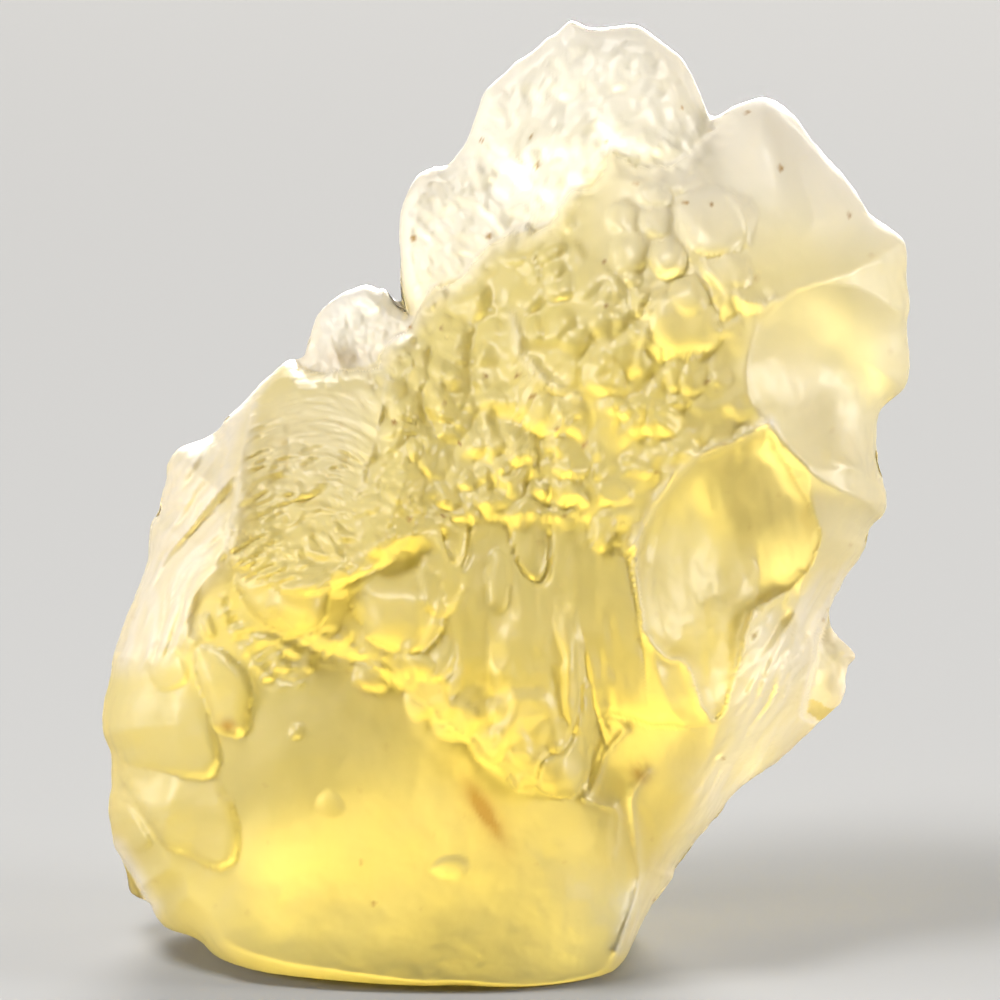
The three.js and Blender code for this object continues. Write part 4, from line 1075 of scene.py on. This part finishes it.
    def stand_up(self, drawing: Array) -> Array:
        """Leans the drawing back and stands it on a flat foot.

        Args:
            drawing: points (u, v, w), mm.

        Returns:
            Points (x, y, z) of the object, mm.
        """
        tilt = math.radians(self.view_tilt_deg)
        u, v, w = drawing.T
        rise = v - self.foot_drop
        y = rise * math.sin(tilt) - w * math.cos(tilt) - self.middle_back
        z = rise * math.cos(tilt) + w * math.sin(tilt)
        eased = (z + self.foot_round) ** 2 / (4.0 * self.foot_round)
        z = np.where(z >= self.foot_round, z, np.where(z <= -self.foot_round, 0.0, eased))
        return np.stack([u - self.middle_right, y, z], axis=1)

    def grid_quads(self, index: Array) -> Array:
        """Triangles over a grid, split along the spokes in each quarter.

        Args:
            index: vertex number of each node, as a square table.

        Returns:
            Triangles, one a row.
        """
        a, b = index[:-1, :-1].ravel(), index[:-1, 1:].ravel()
        c, d = index[1:, 1:].ravel(), index[1:, :-1].ravel()
        cells = index.shape[0] - 1
        i, j = np.meshgrid(np.arange(cells), np.arange(cells))
        leans = ((2 * i + 1 - cells) * (2 * j + 1 - cells) > 0).ravel()[:, None]
        first = np.where(leans, np.stack([a, b, c], 1), np.stack([a, b, d], 1))
        second = np.where(leans, np.stack([a, c, d], 1), np.stack([b, c, d], 1))
        return np.vstack([first, second])

    def build(self) -> bpy.types.Object:
        """Builds the closed mesh of the stone.

        Returns:
            The new object, unturned at the origin.
        """
        n, m = self.front_cells + 1, self.back_cells + 1
        front, _ = self.sheet(self.front_cells, Side.FRONT)
        back, ring = self.sheet(self.back_cells, Side.BACK)
        inner = ring < 1.0 - 1e-9
        drawing = np.vstack([front, back[inner]])
        front_index = np.arange(n * n).reshape(n, n)
        back_index = np.zeros(m * m, int)
        back_index[inner] = n * n + np.arange(inner.sum())
        step = self.front_cells // self.back_cells
        coarse = front_index[::step, ::step].ravel()
        back_index[~inner] = coarse[~inner]
        back_index = back_index.reshape(m, m)
        triangles = np.vstack([self.grid_quads(front_index),
                               self.grid_quads(back_index)[:, ::-1]])
        rim = np.concatenate([front_index[0, :-1], front_index[:-1, -1],
                              front_index[-1, :0:-1], front_index[:0:-1, 0]])
        triangles = self.open_rim(triangles, rim, step)
        points = self.stand_up(drawing)
        points = self.weather(points, triangles)
        mesh = bpy.data.meshes.new("desert_glass_skin")
        mesh.from_pydata((points * MM).tolist(), [], triangles.tolist())
        mesh.update()
        stone = bpy.data.objects.new("desert_glass_stone", mesh)
        bpy.context.scene.collection.objects.link(stone)
        mesh.polygons.foreach_set("use_smooth", np.ones(len(mesh.polygons), bool))
        self.mark(mesh, drawing)
        return stone

    def open_rim(self, triangles: Array, rim: Array, step: int) -> Array:
        """Opens each long run of the back at the rim to take the front's node between.

        Args:
            triangles: all triangles.
            rim: vertex numbers of the rim, in order.
            step: front nodes to one back node.

        Returns:
            Triangles of the closed mesh.
        """
        count = int(rim.max()) + 1
        after = np.full(count, -1)
        corners = rim[::step]
        after[corners] = np.roll(corners, -1)
        middle = np.full(count, -1)
        middle[corners] = rim[1::step]
        kept, added = np.ones(len(triangles), bool), []
        for turn in range(3):
            a, b, c = (triangles[:, (turn + k) % 3] for k in range(3))
            safe_b = np.minimum(b, count - 1)
            along = (a < count) & (b < count) & (after[safe_b] == a) & (middle[safe_b] >= 0)
            mid = middle[safe_b[along]]
            added.append(np.stack([a[along], mid, c[along]], 1))
            added.append(np.stack([mid, b[along], c[along]], 1))
            kept &= ~along
        return np.vstack([triangles[kept], *added])

    def weather(self, points: Array, triangles: Array) -> Array:
        """Moves the surface in and out along its own normals by fine noise.

        Args:
            points: vertices, mm.
            triangles: the mesh's triangles.

        Returns:
            Vertices after weathering; the foot keeps its flat.
        """
        corners = points[triangles]
        facing = np.cross(corners[:, 1] - corners[:, 0], corners[:, 2] - corners[:, 0])
        normals = np.zeros(points.shape)
        for corner in range(3):
            np.add.at(normals, triangles[:, corner], facing)
        normals /= np.linalg.norm(normals, axis=1, keepdims=True) + 1e-12
        depth = self.weather_depth * fractal(*(points.T / self.weather_size), 51.0, 3)
        free = smooth(points[:, 2] / self.weather_fade)
        return points + normals * (depth * free)[:, None]

    def specks(self, u: Array, v: Array) -> Array:
        """Tiny dark specks, at most one to a cell.

        Args:
            u, v: places, right and up.

        Returns:
            1 on a speck, 0 elsewhere.
        """
        x, y = u / self.speck_cell, v / self.speck_cell
        cx, cy = np.floor(x), np.floor(y)
        px = cx + 0.2 + 0.6 * lattice(cx, cy, 0 * cx, 62.0)
        py = cy + 0.2 + 0.6 * lattice(cx, cy, 0 * cx, 63.0)
        kind = lattice(cx, cy, 0 * cx, 65.0)
        radius = 0.07 + 0.06 * lattice(cx, cy, 0 * cx, 66.0)
        return (kind > self.speck_rarity) * smooth(1.5 - np.hypot(x - px, y - py) / radius)

    def mark(self, mesh: bpy.types.Mesh, drawing: Array) -> None:
        """Stores what the finish needs to know about each vertex, painted light and painted
        highlights among it.

        Args:
            mesh: the stone's mesh.
            drawing: its vertices on the drawing.
        """
        u, v, w = drawing.T
        flat = 0.0 * u
        bearing = np.arctan2(v - self.heart[1], u - self.heart[0])
        front = w > self.station_value(bearing, "height")
        crest = smooth(0.5 - depth_inside(rounded(FRONT_MASS, True, 1), u, v) / 0.5)
        # Painted light: the flanks are painted paler where the side lights behind them fall, and
        # the tops of their streaks paler still as painted highlights.
        flank = zone(LEFT_FLANK_ZONE, 2.0, u, v) + zone(RIGHT_FLANK_ZONE, 2.5, u, v)
        flank = flank * (0.75 + 0.25 * smooth(1.4 * self.streaks(u, v)))
        flake = sum(smooth(1.0 + depth_inside(np.array(f.shape), u, v)) for f in FLAKES)
        # Painted light: the upper right is painted paler, as if more light fell on it.
        upper = smooth((v - 31.0) / 11.0) * smooth((u - 1.0) / 9.0)
        right_side = 0.45 * smooth((u - 8.0) / 8.0) * smooth((v - 16.0) / 6.0)
        # Painted light: the rippled bowl is painted paler towards its top.
        bowl = 0.4 * zone(BOWL_ZONE, 3.0, u, v) * smooth((v - 22.0) / 6.0)
        pale = np.maximum.reduce([crest, 0.95 * flank, flake, upper, right_side, bowl])
        # On the back: a little paler overall, and painted light towards the upper right as on the
        # front.
        pale = np.where(front, pale, np.maximum(crest, 0.12 + 0.6 * upper))
        # Painted highlight: each brim is painted paler along its crest, by its own height.
        lit = np.where(front, 0.9 * self.brims_rise(*self.wander(u, v)), 0.0)
        along = 0.49 * (u + 0.75) - 0.87 * (v - 9.0)
        across = 0.87 * (u + 0.75) + 0.49 * (v - 9.0)
        broken = smooth(0.7 + 0.8 * fractal((u + 0.5 * v) / 0.5, v / 0.8, flat, 61.0, 3))
        streak = np.exp(-((across / 0.42) ** 2) - (along / 1.6) ** 2)
        streak += 0.45 * np.exp(-((across / 1.1) ** 2) - (along / 2.6) ** 2)
        smear = stained(SMEARS, u, v)
        stain = np.where(front, streak * (0.6 + 0.4 * broken) + smear * broken, 0.0)
        dusty = crest + zone(LUMPED_ZONE, 4.0, u, v) + smooth((v - 36.0) / 4.0)
        dusty += 0.6 * zone(RIGHT_FLANK_ZONE, 3.0, u, v) + 0.15
        scratch_across = 0.81 * (u + 5.5) + 0.59 * (v - 4.25)
        scratch_along = 0.59 * (u + 5.5) - 0.81 * (v - 4.25)
        dusty += np.exp(-((scratch_across / 0.7) ** 2) - (scratch_along / 3.0) ** 2)
        stain = stain + clamp01(dusty) * self.specks(u, v) * front
        cloud = 0.5 + 0.5 * fractal(u / 3.0, v / 3.0, w / 3.0, 64.0, 4)
        pale = np.maximum(pale, lit) + 0.15 * cloud
        for name, values in (("pale", pale), ("stain", stain), ("cloud", cloud)):
            layer = mesh.attributes.new(name, "FLOAT", "POINT")
            layer.data.foreach_set("value", clamp01(values).astype(np.float32))


@dataclass(frozen=True)
class DesertGlassFinish:
    """Frosted pale yellow natural glass under a thin gloss, with brown stains and specks, and
    painted light and painted highlights in its paler parts.
    """

    body: tuple[float, float, float] = (0.775, 0.68, 0.24)
    pale: tuple[float, float, float] = (0.92, 0.90, 0.87)
    # Paler colour: on the crests and flakes, and as painted light on the flanks, brims, upper
    # right and top of the bowl.
    brown: tuple[float, float, float] = (0.36, 0.19, 0.05)
    roughness: float = 0.54
    roughness_swing: float = 0.08
    ior: float = 1.46
    gloss: float = 0.24
    gloss_roughness: float = 0.30
    transmission: float = 0.64
    absorption: tuple[float, float, float] = (0.87, 0.765, 0.05)
    absorption_density: float = 72.0

    def attribute(self, tree: bpy.types.NodeTree, name: str) -> bpy.types.NodeSocket:
        """Reads one stored value of the mesh.

        Args:
            tree: the material's nodes.
            name: the stored value's name.

        Returns:
            The socket that carries it.
        """
        node = tree.nodes.new("ShaderNodeAttribute")
        node.attribute_name = name
        return node.outputs["Fac"]

    def blend(self, tree: bpy.types.NodeTree, share: bpy.types.NodeSocket,
              under: bpy.types.NodeSocket | tuple[float, float, float],
              over: tuple[float, float, float]) -> bpy.types.NodeSocket:
        """Lays one colour over another.

        Args:
            tree: the material's nodes.
            share: how much of the upper colour shows.
            under: the lower colour.
            over: the upper colour.

        Returns:
            The mixed colour.
        """
        node = tree.nodes.new("ShaderNodeMix")
        node.data_type = "RGBA"
        tree.links.new(share, node.inputs["Factor"])
        if isinstance(under, tuple):
            node.inputs["A"].default_value = (*under, 1.0)
        else:
            tree.links.new(under, node.inputs["A"])
        node.inputs["B"].default_value = (*over, 1.0)
        return node.outputs["Result"]

    def build(self) -> bpy.types.Material:
        """Makes the material.

        Returns:
            The new material.
        """
        material = bpy.data.materials.new("desert_glass_waxy_yellow")
        material.use_nodes = True
        tree = material.node_tree
        tree.nodes.clear()
        link = tree.links.new
        output = tree.nodes.new("ShaderNodeOutputMaterial")
        shader = tree.nodes.new("ShaderNodeBsdfPrincipled")
        shader.inputs["IOR"].default_value = self.ior
        shader.inputs["Transmission Weight"].default_value = self.transmission
        shader.inputs["Coat Weight"].default_value = self.gloss
        shader.inputs["Coat Roughness"].default_value = self.gloss_roughness
        link(shader.outputs["BSDF"], output.inputs["Surface"])
        absorb = tree.nodes.new("ShaderNodeVolumeAbsorption")
        absorb.inputs["Color"].default_value = (*self.absorption, 1.0)
        absorb.inputs["Density"].default_value = self.absorption_density
        link(absorb.outputs["Volume"], output.inputs["Volume"])

        cloud = self.attribute(tree, "cloud")
        # The paler colour brings painted light and painted highlights in with it.
        colour = self.blend(tree, self.attribute(tree, "pale"), self.body, self.pale)
        colour = self.blend(tree, self.attribute(tree, "stain"), colour, self.brown)
        link(colour, shader.inputs["Base Color"])

        spread = tree.nodes.new("ShaderNodeMapRange")
        spread.inputs["To Min"].default_value = self.roughness - self.roughness_swing
        spread.inputs["To Max"].default_value = self.roughness + self.roughness_swing
        link(cloud, spread.inputs["Value"])
        link(spread.outputs["Result"], shader.inputs["Roughness"])
        return material


@dataclass(frozen=True)
class Lamp:
    """A soft square light; lengths in metres, power in watts."""

    name: str
    place: tuple[float, float, float]
    size: float
    watts: float
    spread_deg: float = 180.0
    aim_height: float = 0.022


LAMPS = [
    Lamp("back_light", (0.05, 0.80, 0.14), 0.40, 6.0),
    Lamp("crest_light", (0.02, 0.60, 0.05), 0.03, 0.045, 5.0, 0.040),
    Lamp("left_back_light", (-0.40, 0.22, 0.07), 0.12, 0.5),
    Lamp("right_back_light", (0.40, 0.18, 0.07), 0.12, 0.8),
    Lamp("left_rake", (-0.36, -0.06, 0.12), 0.10, 1.15),
    Lamp("right_rake", (0.36, -0.08, 0.10), 0.10, 1.35),
    Lamp("top_left_key", (-0.12, -0.08, 0.34), 0.10, 1.25),
]


@dataclass
class Studio:
    """Pale floor, soft lights and the camera at the photo's viewing angle."""

    distance: float = 1.2
    view_width: float = 0.050
    middle: tuple[float, float] = (0.0, 24.5)
    floor_colour: tuple[float, float, float] = (0.26, 0.27, 0.29)
    warmth: tuple[float, float, float] = (1.0, 0.96, 0.89)
    sky: tuple[float, float, float] = (0.92, 0.95, 1.0)
    sky_strength: float = 0.15
    floor_half: float = 3.0
    floor_roughness: float = 0.7
    sensor_mm: float = 36.0
    clip: tuple[float, float] = (0.05, 20.0)

    def floor(self) -> bpy.types.Object:
        """Makes the floor.

        Returns:
            The floor object.
        """
        half = self.floor_half
        mesh = bpy.data.meshes.new("floor")
        corners = [(-half, -half, 0.0), (half, -half, 0.0), (half, half, 0.0), (-half, half, 0.0)]
        mesh.from_pydata(corners, [], [(0, 1, 2, 3)])
        floor = bpy.data.objects.new("floor", mesh)
        bpy.context.scene.collection.objects.link(floor)
        material = bpy.data.materials.new("floor_pale")
        material.use_nodes = True
        shader = material.node_tree.nodes["Principled BSDF"]
        shader.inputs["Base Color"].default_value = (*self.floor_colour, 1.0)
        shader.inputs["Roughness"].default_value = self.floor_roughness
        mesh.materials.append(material)
        return floor

    def area(self, lamp: Lamp) -> None:
        """Adds one light, aimed at the stone.

        Args:
            lamp: the light.
        """
        data = bpy.data.lights.new(lamp.name, "AREA")
        data.size = lamp.size
        data.energy = lamp.watts
        data.color = self.warmth
        data.spread = math.radians(lamp.spread_deg)
        light = bpy.data.objects.new(lamp.name, data)
        light.location = lamp.place
        aim = Vector((0.0, 0.0, lamp.aim_height)) - Vector(lamp.place)
        light.rotation_euler = aim.to_track_quat("-Z", "Y").to_euler()
        bpy.context.scene.collection.objects.link(light)

    def lights(self) -> None:
        """Adds the sky and the lights."""
        world = bpy.data.worlds.new("soft_sky")
        world.use_nodes = True
        sky = world.node_tree.nodes["Background"]
        sky.inputs["Color"].default_value = (*self.sky, 1.0)
        sky.inputs["Strength"].default_value = self.sky_strength
        bpy.context.scene.world = world
        for lamp in LAMPS:
            self.area(lamp)

    def camera(self) -> None:
        """Adds the camera, looking along +Y and a little down."""
        tilt = math.radians(DesertGlass.view_tilt_deg)
        u, v = self.middle
        rise = v - DesertGlass.foot_drop
        target = MM * Vector((u - DesertGlass.middle_right,
                              rise * math.sin(tilt) - DesertGlass.middle_back,
                              rise * math.cos(tilt)))
        back = Vector((0.0, -math.cos(tilt), math.sin(tilt)))
        data = bpy.data.cameras.new("camera")
        data.sensor_width = self.sensor_mm
        data.lens = self.sensor_mm * self.distance / self.view_width
        data.clip_start, data.clip_end = self.clip
        camera = bpy.data.objects.new("camera", data)
        camera.location = target + back * self.distance
        camera.rotation_euler = (-back).to_track_quat("-Z", "Y").to_euler()
        bpy.context.scene.collection.objects.link(camera)
        bpy.context.scene.camera = camera
        bpy.context.scene.view_settings.view_transform = "Standard"


def main() -> None:
    """Builds the stone, its finish and the studio."""
    logging.basicConfig(level=logging.INFO, format="%(name)s: %(message)s")
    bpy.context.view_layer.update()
    stone = DesertGlass().build()
    stone.data.materials.append(DesertGlassFinish().build())
    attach(stone, "root")
    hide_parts("desert_glass")
    log.info("stone: %d triangles", len(stone.data.polygons))
    studio = Studio()
    studio.floor()
    studio.lights()
    studio.camera()


if __name__ == "__main__":
    main()
